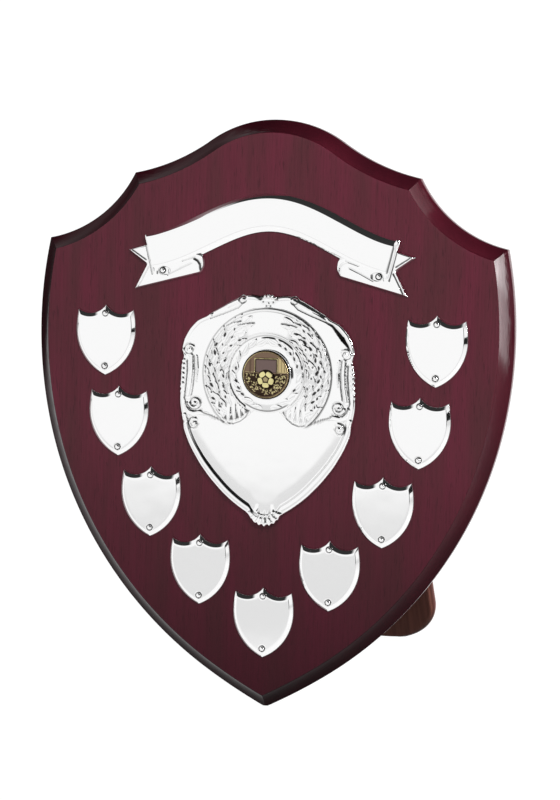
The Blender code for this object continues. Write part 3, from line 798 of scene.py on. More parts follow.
half_round = np.linspace(0.0, np.pi / 2, 7)
turns = np.concatenate([half_round, half_round[::-1]])
insets = STRUT_EDGE_ROUND * (1 - np.sin(turns))
depths = STRUT_EDGE_ROUND * (1 - np.cos(half_round))
depths = np.concatenate([depths, STRUT_THICKNESS - depths[::-1]])
swept = np.linspace(STRUT_TAPER, -np.pi / 2, 30)
strut_rings = []
for inset, depth in zip(insets, depths):
    half = foot_corner + (STRUT_CORNER - inset) * np.exp(1j * swept)
    half = np.concatenate([[complex(side_top - inset / math.cos(STRUT_TAPER), ABOVE_TOP)], half])
    ring = np.concatenate([half, -np.conj(half[::-1])])
    strut_rings.append(np.stack([ring.real, np.full(len(ring), depth), ring.imag], axis=-1))
strut_points = np.array(strut_rings)
print(f"the strut swings back {math.degrees(swing):.1f} degrees and is {strut_length:.1f} mm long")

# %% [markdown]
# The flat plate is now swung back into place. Its foot is cut level for the table, and its top is mitred
# against the board's back. A cut is made by sliding every point that would pass a cutting plane back along
# the plate until it lies on that plane.

# %% Cutting the strut and placing it
turn_back = np.array([
    [1, 0, 0],
    [0, math.cos(swing), -math.sin(swing)],
    [0, math.sin(swing), math.cos(swing)],
])
strut_points = strut_points @ turn_back.T + (0.0, top_behind, top_height)


def slide_to_plane(points, on_plane, normal, way):
    """Slides the points beyond a plane back along one direction until they lie on it."""
    beyond = np.maximum((points - on_plane) @ normal, 0.0)
    return points - beyond[..., None] * np.asarray(way) / np.dot(way, normal)


down_plate = turn_back @ (0.0, 0.0, -1.0)
to_board = np.array([0.0, -math.cos(LEAN), math.sin(LEAN)])
table_plane = (np.zeros(3), np.array([0.0, 0.0, -1.0]))
board_plane = (np.array([0.0, top_behind, top_height]) - to_board * GAP, to_board)
strut_points = slide_to_plane(strut_points, *table_plane, down_plate)
strut_points = slide_to_plane(strut_points, *board_plane, -down_plate)
strut_points = (strut_points + (0.0, SLIDE, 0.0)) * MM
strut = make_piece("easel_strut", [closed_shell(strut_points)], brown_wood, ["strut"])

# %% [markdown]
# ## Chasing tools
# Pressed ornament is a height above the board at each place of a plate. Drawing it is like chasing metal
# with a few punches: a line that is raised or sunk, a leaf, a round bead. Each tool here works on whole
# arrays of places at once and returns the height that its mark adds. Lines come first.


# %% Raised and sunk lines
def smooth_step(value, low, high):
    """0 below low, 1 above high, and an easy curve, 3 x x - 2 x x x, between."""
    share = np.clip((value - low) / (high - low), 0.0, 1.0)
    return share * share * (3 - 2 * share)


def line_reach(spots, line):
    """For each place, its distance to a line of places and the share of the line's length at the foot."""
    lengths = np.abs(np.diff(line))
    starts = np.concatenate([[0.0], np.cumsum(lengths)])
    nearest = np.full(spots.shape, 1e9)
    share = np.zeros(spots.shape)
    for start, step, length, gone in zip(line, np.diff(line), lengths, starts):
        offset = (spots - start) * np.conj(step) / length
        along = np.clip(offset.real, 0.0, length)
        away = np.abs(offset - along)
        closer = away < nearest
        nearest = np.where(closer, away, nearest)
        share = np.where(closer, (gone + along) / starts[-1], share)
    return nearest, share


def ridge(spots, line, half_width, lift, ends=(1.0, 1.0)):
    """A half-round ridge along a line, its width going from the first end share to the second. A negative
    lift presses a groove. Only places near the line are worked out."""
    line = np.asarray(line)
    low, high = line.real.min() - half_width * 1.5, line.real.max() + half_width * 1.5
    under, over = line.imag.min() - half_width * 1.5, line.imag.max() + half_width * 1.5
    near = (spots.real > low) & (spots.real < high) & (spots.imag > under) & (spots.imag < over)
    height = np.zeros(spots.shape)
    if near.any():
        away, share = line_reach(spots[near], line)
        width = half_width * (ends[0] + (ends[1] - ends[0]) * share)
        height[near] = lift * np.sqrt(np.clip(1 - (away / width) ** 2, 0.0, 1.0)) * width / half_width
    return height


out_from_line = np.array([0j, 0.5j, 0.9j, 1.1j])
print("across a ridge 2 wide and 1 high:", ridge(out_from_line, [-1 + 0j, 1 + 0j], 1.0, 1.0).round(2))

# %% [markdown]
# The other punches are a leaf with a vein, a bead, and a curl, which only gives the places of a line that
# winds in, for the ridge to follow.


# %% Leaves, beads and curls
def leaf(spots, root, turn, length, half_width, lift):
    """A pointed leaf with a vein: its half width is a sine bow along its length, its section a dome, and it
    rises towards the tip, so that the next leaf can lie over its root."""
    local = (spots - root) * np.exp(-1j * turn)
    along = local.real / length
    bow = half_width * np.sin(np.pi * np.clip(along, 0.0, 1.0) ** 0.85) ** 0.8 + 1e-6
    dome = np.sqrt(np.clip(1 - (local.imag / bow) ** 2, 0.0, 1.0))
    vein = 0.30 * np.exp(-((local.imag / 0.24) ** 2))
    inside = (along > 0) & (along < 1) & (dome > 0)
    return np.where(inside, lift * (dome - vein * dome) * (0.45 + 0.55 * along), 0.0)


def bead(spots, centre, radius, lift):
    """A round bead: the top of a ball."""
    return lift * np.sqrt(np.clip(1 - (np.abs(spots - centre) / radius) ** 2, 0.0, 1.0))


def spiral(centre, outer, inner, start, turns, count=26):
    """A curl that winds in: its radius falls evenly from outer to inner while it turns."""
    share = np.linspace(0.0, 1.0, count)
    return centre + (outer + (inner - outer) * share) * np.exp(1j * (start + 2 * np.pi * turns * share))


along_leaf = np.array([0.3j, 1 + 0.3j, 2 + 0.3j, 3 + 0.3j])
print("along a leaf 4 long and 1 high:", leaf(along_leaf, 0j, 0.0, 4.0, 1.0, 1.0).round(2))


# %% [markdown]
# ## Record shields
# Nine small shields hold the winners' names. Each is one pressed plate: two hollow curves along the top,
# a sloped edge all round, and a nearly flat field. All nine come from one drawing, so a loop places them.
# The slope is 39 degrees: a steeper one would mirror the wood instead of the studio.

# %% The record shield's outline
RECORD_HALF_WIDTH = 16.4
RECORD_WIDEST_UP = 5.5
RECORD_TIP_DOWN = 18.9
RECORD_PEAK = 18.9j
RECORD_HORN = 15.0 + 16.2j
RECORD_SCALLOP_LOW = 8.2 + 14.0j
RECORD_UPPER_RADIUS = 50.0

half_chord = RECORD_WIDEST_UP + RECORD_TIP_DOWN
lower_radius = (RECORD_HALF_WIDTH**2 + half_chord**2) / (2 * RECORD_HALF_WIDTH)
scallop, scallop_radius = circle_through(RECORD_PEAK, RECORD_SCALLOP_LOW, RECORD_HORN)
RECORD_ARCS = [
    (scallop, scallop_radius, -1, 34),
    (complex(RECORD_HALF_WIDTH - RECORD_UPPER_RADIUS, RECORD_WIDEST_UP), RECORD_UPPER_RADIUS, 1, 20),
    (complex(RECORD_HALF_WIDTH - lower_radius, RECORD_WIDEST_UP), lower_radius, 1, 60),
]
RECORD_CORNERS = [
    RECORD_PEAK,
    RECORD_HORN,
    complex(RECORD_HALF_WIDTH, RECORD_WIDEST_UP),
    complex(0.0, -RECORD_TIP_DOWN),
]
print(f"record shield: lower sides of radius {lower_radius:.1f} mm, hollows of {scallop_radius:.1f} mm")

# %% [markdown]
# The plate's rings follow the edge at true distance across the slope, and then shrink evenly towards the
# middle. Two dimples are pressed in, where the pins go.

# %% The record shield's plate
RECORD_PLACES = (88.8 + 193.7j, 81.0 + 151.0j, 62.6 + 108.8j, 35.0 + 74.0j, 47.5j)
RECORD_OUT = 2.2
RECORD_PIN_UP = 14.0
DIMPLE_RADIUS = 1.8
DIMPLE_DEPTH = 0.6

record_section = rounded(
    [0 + 1j * GAP, 0.30 + 0.78j, 2.05 + 1j * RECORD_OUT, 3.4 + 1j * RECORD_OUT], [0.3, 1.0], steps=6)


def record_field(spots):
    """The field's height: flat, with a dimple under each pin."""
    height = np.full(spots.shape, RECORD_OUT)
    for pin in (1j * RECORD_PIN_UP, -1j * RECORD_PIN_UP):
        height -= DIMPLE_DEPTH * (1 - smooth_step(np.abs(spots - pin), DIMPLE_RADIUS - 0.5, DIMPLE_RADIUS))
    return height


def record_shell(spot):
    """One plate at its place: the edge's rings, then rings that shrink towards the middle."""
    rings = [(arc_outline(RECORD_ARCS, RECORD_CORNERS, step.real), step.imag) for step in record_section]
    inner = rings[-1][0]
    shrink = np.concatenate([np.linspace(1.0, 0.62, 17)[1:], np.linspace(0.62, 0.05, 7)[1:]])
    rings += [(inner * share, RECORD_OUT) for share in shrink]
    return closed_shell(np.array([
        on_board(ring.real + spot.real, ring.imag + spot.imag, np.minimum(out, record_field(ring)))
        for ring, out in rings]))


print("record shield, its field and a dimple's bottom:", record_field(np.array([0j, 1j * RECORD_PIN_UP])))


# %% [markdown]
# Each plate is held by two pins. A pin's domed head sits in a countersink whose rim is the plate's own
# metal, and round the dome a dark ring is painted, part grime and part painted shade. Head and countersink
# are one turned body, so its profile is a list of radius and height pairs, and the dark ring is a mark on
# the lowest of them.

# %% Pins
PIN_PROFILE = (
    (1.98, -0.55), (1.98, 0.03), (1.86, 0.08), (1.74, -0.06), (1.62, -0.30), (1.44, -0.36), (1.34, -0.20),
)
PIN_DOME_RADIUS = 1.28
PIN_DOME_RISE = 0.95
PIN_DOME_FOOT = -0.05
PIN_AROUND = 32

dome_lift = np.linspace(0.0, 0.97, 8) * np.pi / 2
dome_rise = PIN_DOME_FOOT + PIN_DOME_RISE * np.sin(dome_lift)
pin_profile = np.array([*PIN_PROFILE, *zip(PIN_DOME_RADIUS * np.cos(dome_lift), dome_rise)])
pin_radii, pin_rises = pin_profile.T
pin_grime_and_shade = np.repeat(np.interp(pin_rises, [-0.20, 0.02], [1.0, 0.0]) * (pin_radii < 1.9), PIN_AROUND)


def turned_shell(spot, profile, around, out):
    """A body turned about an axis square to the board: each pair of radius and height becomes a circle."""
    circle = np.exp(2j * np.pi * np.arange(around) / around)
    return closed_shell(np.array([
        on_board(spot.real + radius * circle.real, spot.imag + radius * circle.imag, out + rise)
        for radius, rise in profile]))


def drive_pin(name, spot, out, stands_for):
    """One pin head at a place, its rim level with the plate there."""
    return make_piece(name, [turned_shell(spot, pin_profile, PIN_AROUND, out)], silver,
                      [stands_for], sharp_above=60.0, marks={"recess": pin_grime_and_shade})


record_spots = [*RECORD_PLACES, *[complex(-spot.real, spot.imag) for spot in RECORD_PLACES[-2::-1]]]
for number, spot in enumerate(record_spots, start=1):
    plate = make_piece(f"silver_record_plate_{number}", [record_shell(spot)], silver,
                       [f"record_shield_{number}"], sharp_above=40.0)
    for side, rise in (("upper", RECORD_PIN_UP), ("lower", -RECORD_PIN_UP)):
        drive_pin(f"pin_head_{number}_{side}", spot + 1j * rise, RECORD_OUT, f"record_pin_{number}_{side}")
print("each record plate:", triangles(plate), "triangles")

# %% [markdown]
# ## The scroll
# The title scroll is one pressing: a waved ribbon whose ends fold back under it into swallowtails. The
# ribbon is a section carried along one wave of a cosine. The section has a foot on the board, a slope
# like that of the small shields and a flat field. The slope is what shows as the dark band along the
# top, because it looks up into the dark of the studio. The band is thin towards the left, so the upper
# slope is narrow there and steeper. Close to the right end a fold is pressed in, with painted shade at its
# bottom.

# %% The ribbon
SCROLL_UP = 262.8
SCROLL_DROP = 23.1
SCROLL_HALF_WAVE = 72.5
SCROLL_REACH = 65.0
SCROLL_HALF_WIDTH = 9.7
SCROLL_END_LEAN = 0.065

scroll_half = rounded(
    [SCROLL_HALF_WIDTH + 1j * GAP, SCROLL_HALF_WIDTH + 0.75j, 6.9 + 3.0j, 0 + 3.0j], [0.2, 1.0], steps=6)
scroll_section = np.concatenate([scroll_half, -np.conj(scroll_half[-2::-1])])


def scroll_line(across):
    """The middle of the ribbon and the direction square to it, for places across the board."""
    phase = np.pi * across / SCROLL_HALF_WAVE
    up = SCROLL_UP - SCROLL_DROP * (1 - np.cos(phase)) / 2
    steepness = -SCROLL_DROP * np.pi * np.sin(phase) / (2 * SCROLL_HALF_WAVE)
    return across + 1j * up, 1j * np.exp(1j * np.arctan(steepness))


stations = np.concatenate([
    [-SCROLL_REACH, -SCROLL_REACH + 0.4],
    np.linspace(-SCROLL_REACH + 0.8, SCROLL_REACH - 2.4, 120),
    SCROLL_REACH - np.linspace(2.0, 0.0, 9),
])[:, None]
section_in, section_out = scroll_section.real[None, :], scroll_section.imag[None, :]
lean_in = SCROLL_END_LEAN * section_in * (stations / SCROLL_REACH) ** 3
middle, square = scroll_line(stations + lean_in)
narrow = 0.22 - 0.22 * smooth_step(stations, 0.0, 34.0) + 0.40 * smooth_step(-stations, 30.0, 56.0)
narrow = narrow * (section_in > 0)
section_across = SCROLL_HALF_WIDTH * narrow + (1 - narrow) * section_in
section_across = np.where(section_in > 6.0, section_across, section_in)
ribbon = middle + square * section_across
ribbon_out = np.broadcast_to(section_out, ribbon.shape)
from_end = SCROLL_REACH - stations
fold = np.exp(-(((from_end - 0.95) / 0.42) ** 2)) * (section_out > 2.0)
ribbon_shell = closed_shell(on_board(ribbon.real, ribbon.imag, ribbon_out - 0.35 * fold))
# Painted shade in the bottom of the fold.
ribbon_recess = 0.9 * fold
print("ribbon: stations by places on the section:", ribbon.shape)

# %% [markdown]
# The band behind the ribbon shows as a tail with a notched end and, further in, the round fold where it
# turns back. Pressed sheet has no sharp corners, so the tail is a soft polygon. Two helpers make it: one
# draws a polygon further in by a true distance, and one rounds its corners with a running average.


# %% Soft polygons
def inset_polygon(corners, inset):
    """A polygon drawn inset: each corner slides along the bisector until its two sides have moved in."""
    corners = np.asarray(corners)
    ways = np.roll(corners, -1) - corners
    ways = ways / np.abs(ways)
    before = np.roll(ways, 1)
    area = np.sum((np.conj(corners) * np.roll(corners, -1)).imag)
    bisector = (before + ways) * 1j * np.sign(area)
    return corners + bisector * inset * 2 / np.abs(bisector) ** 2


def soft_loop(corners, counts, softness):
    """A polygon as many places, a count of them on each side, its corners rounded by a running average."""
    sides = zip(corners, np.roll(corners, -1), counts)
    loop = np.concatenate([start + (end - start) * np.arange(count) / count for start, end, count in sides])
    reach = 3 * softness
    kernel = np.exp(-0.5 * (np.arange(-reach, reach + 1) / softness) ** 2)
    padded = np.concatenate([loop[-reach:], loop, loop[:reach]])
    return np.convolve(padded, kernel / kernel.sum(), mode="valid")


print("a square of 4 mm drawn 1 mm further in:", inset_polygon([0j, 4 + 0j, 4 + 4j, 4j], 1.0).round(2))

# %% [markdown]
# A few creases and a border are chased into the tail's face. Each chased line is a groove with a dark
# mark in it, part grime and part painted shade and painted reflection, some darker on one tail than on the
# other: its places, its half width, its depth and how dark it is. A shallow oval lies round the pin, with a
# faint painted ring and a patch of painted reflection beside it, and the tip swells a little.

# %% The tail's face
TAIL_OUT = 2.0
SCROLL_PIN = 57.8 + 231.3j
BORDER = [65.4 + 233.0j, 70.7 + 222.8j]
UPPER_BORDER = [66.9 + 236.6j, 74.2 + 241.5j]
FOLD = [40.6 + 237.9j, 38.9 + 237.0j, 37.6 + 235.2j, 37.2 + 232.2j]
CREASE = [42.5 + 235.2j, 48.5 + 232.4j, 55.0 + 229.0j]
UPPER_CREASE = [40.5 + 238.8j, 47.0 + 236.6j]
PIN_OVAL = 56.9 + 231.2j
TIP_EDGE_REFLECTION = [67.5 + 244.3j, 74.6 + 242.3j]
ROLL_SHADOW = [67.2 + 245.2j, 65.1 + 236.3j, 63.4 + 229.3j]
TAIL_CURL = 76.0 + 241.7j


def tail_face(spots, side):
    """The tail's height and its dark marks: part grime, part painted shade and painted reflection. The fold
    is darker on the left, and the border on the right.
    """
    leftness = (1 - side) / 2
    height = np.full(spots.shape, TAIL_OUT)
    grime_and_shade = np.zeros(spots.shape)
    # Dark lines: part grime, part painted shade; the tip edge and oval patches are painted reflection.
    for line, half_width, depth, shade in (
        (BORDER, 0.42, 0.35, 0.9 - 0.75 * leftness),
        (UPPER_BORDER, 0.40, 0.30, 0.85),
        (FOLD, 0.60, 0.45, 0.05 + 0.93 * leftness),
        (CREASE, 0.45, 0.25, 0.18),
        (UPPER_CREASE, 0.40, 0.20, 0.14),
        (TIP_EDGE_REFLECTION, 0.75, 0.30, 0.9 * (1 - leftness)),
        (ROLL_SHADOW, 0.42, 0.30, 0.9 - 0.6 * leftness),
        ([PIN_OVAL - 2.6 - 0.7j, PIN_OVAL - 2.7 + 0.8j], 0.60, 0.20, 0.85 * (1 - leftness)),
        ([PIN_OVAL + 3.7 - 1.6j, PIN_OVAL + 3.8 - 0.6j], 0.45, 0.20, 0.85 * leftness),
    ):
        stroke = ridge(spots, line, half_width, 1.0)
        height -= depth * stroke
        grime_and_shade = np.maximum(grime_and_shade, shade * stroke)
    height += bead(spots, TAIL_CURL, 1.3, 0.7)
    oval = np.hypot((spots - PIN_OVAL).real / 3.5, (spots - PIN_OVAL).imag / 2.4)
    height -= 0.3 * (1 - smooth_step(oval, 0.75, 1.0))
    grime_and_shade = np.maximum(grime_and_shade, 0.28 * smooth_step(0.09 - np.abs(oval - 0.92), 0.0, 0.06))
    height -= 0.4 * (1 - smooth_step(np.abs(spots - SCROLL_PIN), DIMPLE_RADIUS - 0.5, DIMPLE_RADIUS))
    return height, grime_and_shade


print(f"the tail's tip swells to {tail_face(np.array([TAIL_CURL]), 1)[0][0]:.2f} mm")

# %% [markdown]
# The tail is drawn once, for the right side, and mirrored. Its rings step in across the pressed edge and
# then shrink to its middle. The places round it stand closer than a third of a millimetre, so that a
# chased line is a clean groove wherever it crosses the net.

# %% The tails
TAIL = (
    35.7 + 239.8j, 60.0 + 247.0j, 77.4 + 241.8j, 66.9 + 234.4j, 73.7 + 220.9j, 36.9 + 230.6j, 35.0 + 234.6j,
)
TAIL_STEP = 0.29
TAIL_COUNTS = np.round(np.abs(np.roll(TAIL, -1) - np.array(TAIL)) / TAIL_STEP).astype(int)
ON_EDGE_BELOW = 1.9
TAIL_MIDDLE = 57.5 + 233.8j
TAIL_SECTION = rounded(
    [0 + 1j * GAP, 0.1 + 0.7j, 0.75 + 1j * TAIL_OUT, 1.2 + 1j * TAIL_OUT], [0.15, 0.35], steps=5)


def tail_shell(side):
    """One tail and its dark marks: rings across the pressed edge, then rings that shrink to the middle. A
    ring on the face takes the chased height and its painted grime and shade, and a lower one, on the edge,
    takes neither."""
    rings = [(soft_loop(inset_polygon(TAIL, step.real), TAIL_COUNTS, 3), step.imag) for step in TAIL_SECTION]
    inner = rings[-1][0]
    for share in np.linspace(1.0, 0.04, 50)[1:]:
        rings.append((TAIL_MIDDLE + (inner - TAIL_MIDDLE) * share, TAIL_OUT))
    points, grimes_and_shades = [], []
    for ring, out in rings:
        height, grime_and_shade = tail_face(ring, side)
        chased_ring = out > ON_EDGE_BELOW
        points.append(on_board(side * ring.real, ring.imag, height if chased_ring else out))
        grimes_and_shades.append(grime_and_shade * chased_ring)
    return closed_shell(np.array(points)), np.concatenate(grimes_and_shades)


tails = [tail_shell(1), tail_shell(-1)]
print(f"each tail: {TAIL_COUNTS.sum()} places round it, {len(tails[0][1])} points")

# %% [markdown]
# The right end of the ribbon is rolled into a thin upright bead with a small bulb on top, and the left end
# into a finer one. Both are rods: circles carried along a line, with a radius that falls to nothing at the
# ends. Ribbon, tails and rolls are then one piece, as the real scroll is one pressing.


# %% The rolled ends and the whole scroll
def rod_shell(line, radii, outs, around=20, flatten=0.8):
    """A rounded rod along a line on the board: circles across the line whose radius comes from radii, with
    domed ends where the radius falls to nothing."""
    ways = np.gradient(line)
    square_way = 1j * ways / np.abs(ways)
    angles = 2 * np.pi * np.arange(around) / around
    spots = line[:, None] + square_way[:, None] * radii[:, None] * np.cos(angles)
    lifts = outs[:, None] + flatten * radii[:, None] * np.sin(angles)
    return closed_shell(on_board(spots.real, spots.imag, np.maximum(lifts, GAP)))


ROLLS = ((1, 67.8 + 250.9j, 62.3 + 229.4j, 0.95, 0.6), (-1, 67.2 + 249.9j, 62.3 + 230.0j, 0.55, 0.1))


def roll_shell(side, top, foot, thickness, bulb):
    """The rolled end of the ribbon: a thin rod that may swell into a small bulb at its top."""
    share = np.linspace(0.0, 1.0, 48)
    line = top + (foot - top) * share
    ends = np.sqrt(np.clip(1 - (2 * share - 1) ** 12, 0.0003, 1.0))
    radii = (thickness + bulb * np.exp(-(((share - 0.12) / 0.10) ** 2))) * ends
    return rod_shell(side * line.real + 1j * line.imag, radii, 2.6 - 0.7 * share)


rolls = [roll_shell(*roll) for roll in ROLLS]
scroll_shells = [ribbon_shell, *[shell for shell, _ in tails], *rolls]
scroll_grime_and_shade = np.concatenate([
    ribbon_recess.ravel(),
    *[grime_and_shade for _, grime_and_shade in tails],
    *[np.zeros(len(points)) for points, _, _ in rolls],
])
scroll = make_piece("silver_scroll", scroll_shells, silver, ["scroll_banner"],
                    sharp_above=40.0, marks={"recess": scroll_grime_and_shade})
for side, word in ((1, "right"), (-1, "left")):
    spot = complex(side * SCROLL_PIN.real, SCROLL_PIN.imag)
    drive_pin(f"scroll_pin_head_{word}", spot, TAIL_OUT, f"scroll_pin_{word}")
print("scroll:", triangles(scroll), "triangles")

# %% [markdown]
# ## The centre shield
# This is the showpiece: a laurel wreath in a double ring, scrolled sides with curls and a beaded edge, a
# shell at the head and at the foot, and a plain domed panel to engrave. It is one pressing again, so it is
# one surface: a net of spokes and rings round the disc's seat, and a height worked out at each crossing.
# First comes its outline, as the distance from the middle of the disc at each turn from straight up. The
# rim is ruffled at the sides and lobed at the foot, by a cosine on top of the plain outline.

# %% The outline of the centre shield
DISC_UP = 178.7
CENTRE_OUTLINE = (
    2.0 + 220.8j, 4.6 + 219.3j, 9.0 + 220.0j, 14.0 + 219.8j, 19.0 + 217.2j, 25.0 + 213.5j, 30.8 + 210.2j,
    33.5 + 208.3j, 38.5 + 205.8j, 42.5 + 201.5j, 45.5 + 196.0j, 46.8 + 190.6j, 45.3 + 187.0j, 46.8 + 183.0j,
    47.2 + 175.5j, 47.3 + 168.0j, 47.3 + 161.5j, 46.5 + 156.8j, 45.5 + 152.5j, 45.2 + 148.5j, 43.0 + 142.5j,
    38.5 + 134.0j, 33.0 + 126.0j, 27.0 + 119.0j, 20.0 + 112.3j, 12.5 + 106.8j, 8.8 + 104.6j, 6.8 + 101.3j,
    3.6 + 99.2j,
)
CENTRE_TOP = 221.0
CENTRE_FOOT = 98.5
HALF_SPOKES = 360
EDGE_ZONE = 6.9
WREATH_ZONE = 34.9
DISH_RADIUS = 19.8
COLLAR_RADIUS = 13.5
SEAT_RADIUS = 12.9
RUFFLE_PITCH = 2.7
LOBE_TURN = 0.034
DEGREE = np.pi / 180

drawn = np.array([1j * CENTRE_TOP, *CENTRE_OUTLINE, 1j * CENTRE_FOOT]) - 1j * DISC_UP
drawn_turn = np.arctan2(drawn.real, drawn.imag)
fine_turn = np.linspace(0.0, np.pi, 2881)
plain_reach = np.interp(fine_turn, drawn_turn, np.abs(drawn))
blur = np.exp(-0.5 * (np.arange(-24, 25) / 7.0) ** 2)
plain_reach = np.convolve(np.pad(plain_reach, 24, mode="reflect"), blur / blur.sum(), mode="valid")
fine_up = plain_reach * np.cos(fine_turn)
ruffle = smooth_step(fine_up, -13.0, -10.0) * (1 - smooth_step(fine_up, 6.0, 8.5))
fine_reach = plain_reach + 0.30 * ruffle * np.cos(2 * np.pi * fine_up / RUFFLE_PITCH)
foot_lobes = smooth_step(fine_turn, np.pi - 0.115, np.pi - 0.09)
fine_reach = fine_reach + 0.40 * foot_lobes * np.cos(2 * np.pi * (np.pi - fine_turn) / LOBE_TURN)
print(f"centre shield: {fine_reach.min():.1f} to {fine_reach.max():.1f} mm from the middle of the disc")

# %% [markdown]
# The net isn't even. Its spokes stand closest at the shells, and its rings are fine across the wreath and
# along the edge and wide over the plain panel, so the detail goes where the eye looks for it. The ruffles
# count at the very edge only: a little way in, distances are taken from the plain outline, or the ruffles
# would run on into the panel.

# %% Spokes and rings
density = np.interp(
    fine_turn,
    [0, 12 * DEGREE, 14 * DEGREE, 125 * DEGREE, 128 * DEGREE, 171 * DEGREE, 173 * DEGREE, np.pi],
    [1.3, 1.3, 1.0, 1.0, 0.75, 0.75, 2.2, 2.2],
)
travel = np.concatenate([[0.0], np.cumsum((density[1:] + density[:-1]) / 2)])
half_turns = np.interp(np.linspace(0.0, travel[-1], HALF_SPOKES + 1), travel, fine_turn)
turns = np.concatenate([half_turns, 2 * np.pi - half_turns[-2:0:-1]])


def all_round(half_values):
    """Values read at the half's spokes, then mirrored for the other half."""
    half = np.interp(half_turns, fine_turn, half_values)
    return np.concatenate([half, half[-2:0:-1]])


reach = all_round(fine_reach)
ways = np.sin(turns) + 1j * np.cos(turns)

to_wreath = WREATH_ZONE - reach + EDGE_ZONE
radii = [reach - step for step in EDGE_ZONE * np.linspace(0.0, 1.0, 25)]
radii += [reach - EDGE_ZONE + to_wreath * share for share in np.linspace(0.0, 1.0, 20)[1:]]
for start, end, count in (
    (WREATH_ZONE, DISH_RADIUS, 57),
    (DISH_RADIUS, COLLAR_RADIUS, 21),
    (COLLAR_RADIUS, SEAT_RADIUS, 7),
):
    radii += [np.full(reach.shape, ring_radius) for ring_radius in np.linspace(start, end, count)[1:]]
radii = np.array(radii)
net = radii * ways
edge_gap = reach - radii
edge_gap = edge_gap + (all_round(plain_reach) - reach) * smooth_step(edge_gap, 0.5, 2.5)
print("net of rings by spokes:", net.shape)

# %% [markdown]
# The height starts from broad forms, drawn for the right side and read with the distance from the centre
# line, so that the left side is its mirror image. A band follows the outline. Inside it a step goes down
# to the panel in the lower half, and a groove parts it from the upper field. Both follow the outline, so
# they are functions of the distance from it. The panel and the wreath's ground are all but level, which
# is why almost the whole plate mirrors the white wall. The wreath ends below in two round lobes.
# A recess mark paints the hollows dark as painted shade, from 0 for bright metal to 1 for black. In the
# photograph some of them mirror something dark on one side only, so these marks, painted reflections
# there, may differ between the left and the right.

# %% Broad forms
EDGE_OUT = 0.8
BAND_OUT = 2.75
FIELD_OUT = 3.0
PANEL_FOOT_OUT = 2.88
PANEL_OUT = 3.1
WREATH_OUT = 3.45
DISH_OUT = 3.5
COLLAR_OUT = 5.4

right = np.abs(net.real) + 1j * net.imag
radius = np.abs(net)
up = net.imag
low_part = smooth_step(-up, 20.0, 27.0)
upper_part = smooth_step(up, 12.5, 17.0) * smooth_step(right.real, 11.0, 14.0)
upper_part = upper_part * (1 - smooth_step(right.real, 29.5, 32.0))
bottom_part = low_part * smooth_step(right.real, 4.6, 7.0)
groove_in = 3.5 + 0.5 * low_part + 1.1 * smooth_step(-up, 30.0, 58.0)

round_edge = np.sqrt(np.clip(1 - (1 - np.clip(edge_gap / 1.5, 0, 1)) ** 2, 0.0, 1.0))
sloped_edge = np.clip(edge_gap / 2.4, 0.0, 1.0)
shoulder = round_edge + (sloped_edge - round_edge) * upper_part
swell = 0.15 * np.sin(np.clip(edge_gap / groove_in, 0, 1) * np.pi)
band = EDGE_OUT + (BAND_OUT - EDGE_OUT) * shoulder + swell
upper_field = FIELD_OUT + 0.10 * smooth_step(edge_gap, 4.0, 14.0)
panel_share = np.clip((edge_gap - groove_in) / 6.5, 0.0, 1.0)
panel = PANEL_FOOT_OUT + (PANEL_OUT - PANEL_FOOT_OUT) * panel_share * (2 - panel_share)
inner = upper_field + (panel - upper_field) * low_part
step_width = 0.9 - 0.3 * low_part
height = band + (inner - band) * smooth_step(edge_gap, groove_in - step_width, groove_in + step_width * 0.4)
trench = smooth_step(0.9 - np.abs(edge_gap - groove_in + 0.2), 0.0, 0.8) * low_part
height = height - 0.9 * trench
thick = 0.25 + 0.75 * smooth_step(-up, 32.0, 50.0)
# Painted shade and reflection: dark lines along the step, and a dark band inside the top of the outline.
dark_line = smooth_step(thick - np.abs(edge_gap - groove_in + 0.4), -0.25, 0.25)
dark_line = dark_line * bottom_part * smooth_step(-up, 27.0, 32.0)
faint_line = 0.22 * smooth_step(0.4 - np.abs(edge_gap - groove_in), 0.0, 0.3) * bottom_part
recess = np.maximum(0.95 * dark_line * (net.real < 0), faint_line)
left_dip = 2.6 * smooth_step(12.0 + net.real, 0.0, 8.5) * (net.real < -3.0)
dip = left_dip + 0.8 * (net.real > 4.0) * (net.real < 10.5)
recess = np.maximum(recess, 0.85 * smooth_step(dip - edge_gap, 0.0, 0.5) * smooth_step(up, 36.0, 37.0))

lobe_end = -26.3 + 0.045 * np.maximum(20 - right.real, 0) ** 2
in_band = np.minimum(np.minimum(WREATH_ZONE - radius, radius - DISH_RADIUS), (up - lobe_end) * 0.85)
band_share = smooth_step(in_band, -0.3, 0.5)
height = height + (WREATH_OUT - height) * band_share
dish_share = smooth_step(DISH_RADIUS - radius, -0.3, 0.5)
height = height + (DISH_OUT - height) * dish_share
print(f"broad forms: {height.min():.2f} to {height.max():.2f} mm out")

# %% [markdown]
# Then come the punches. The wreath is two branches of laurel that grow from the foot of the band and bow
# towards each other at the top. Their leaves lie in four rows along the branch like tiles, each rising to
# its tip. A row is its radius, the turn at which it ends, and how far its leaves spread from the branch.
# Long narrow leaves close the branch below and above, each from its root to its tip.

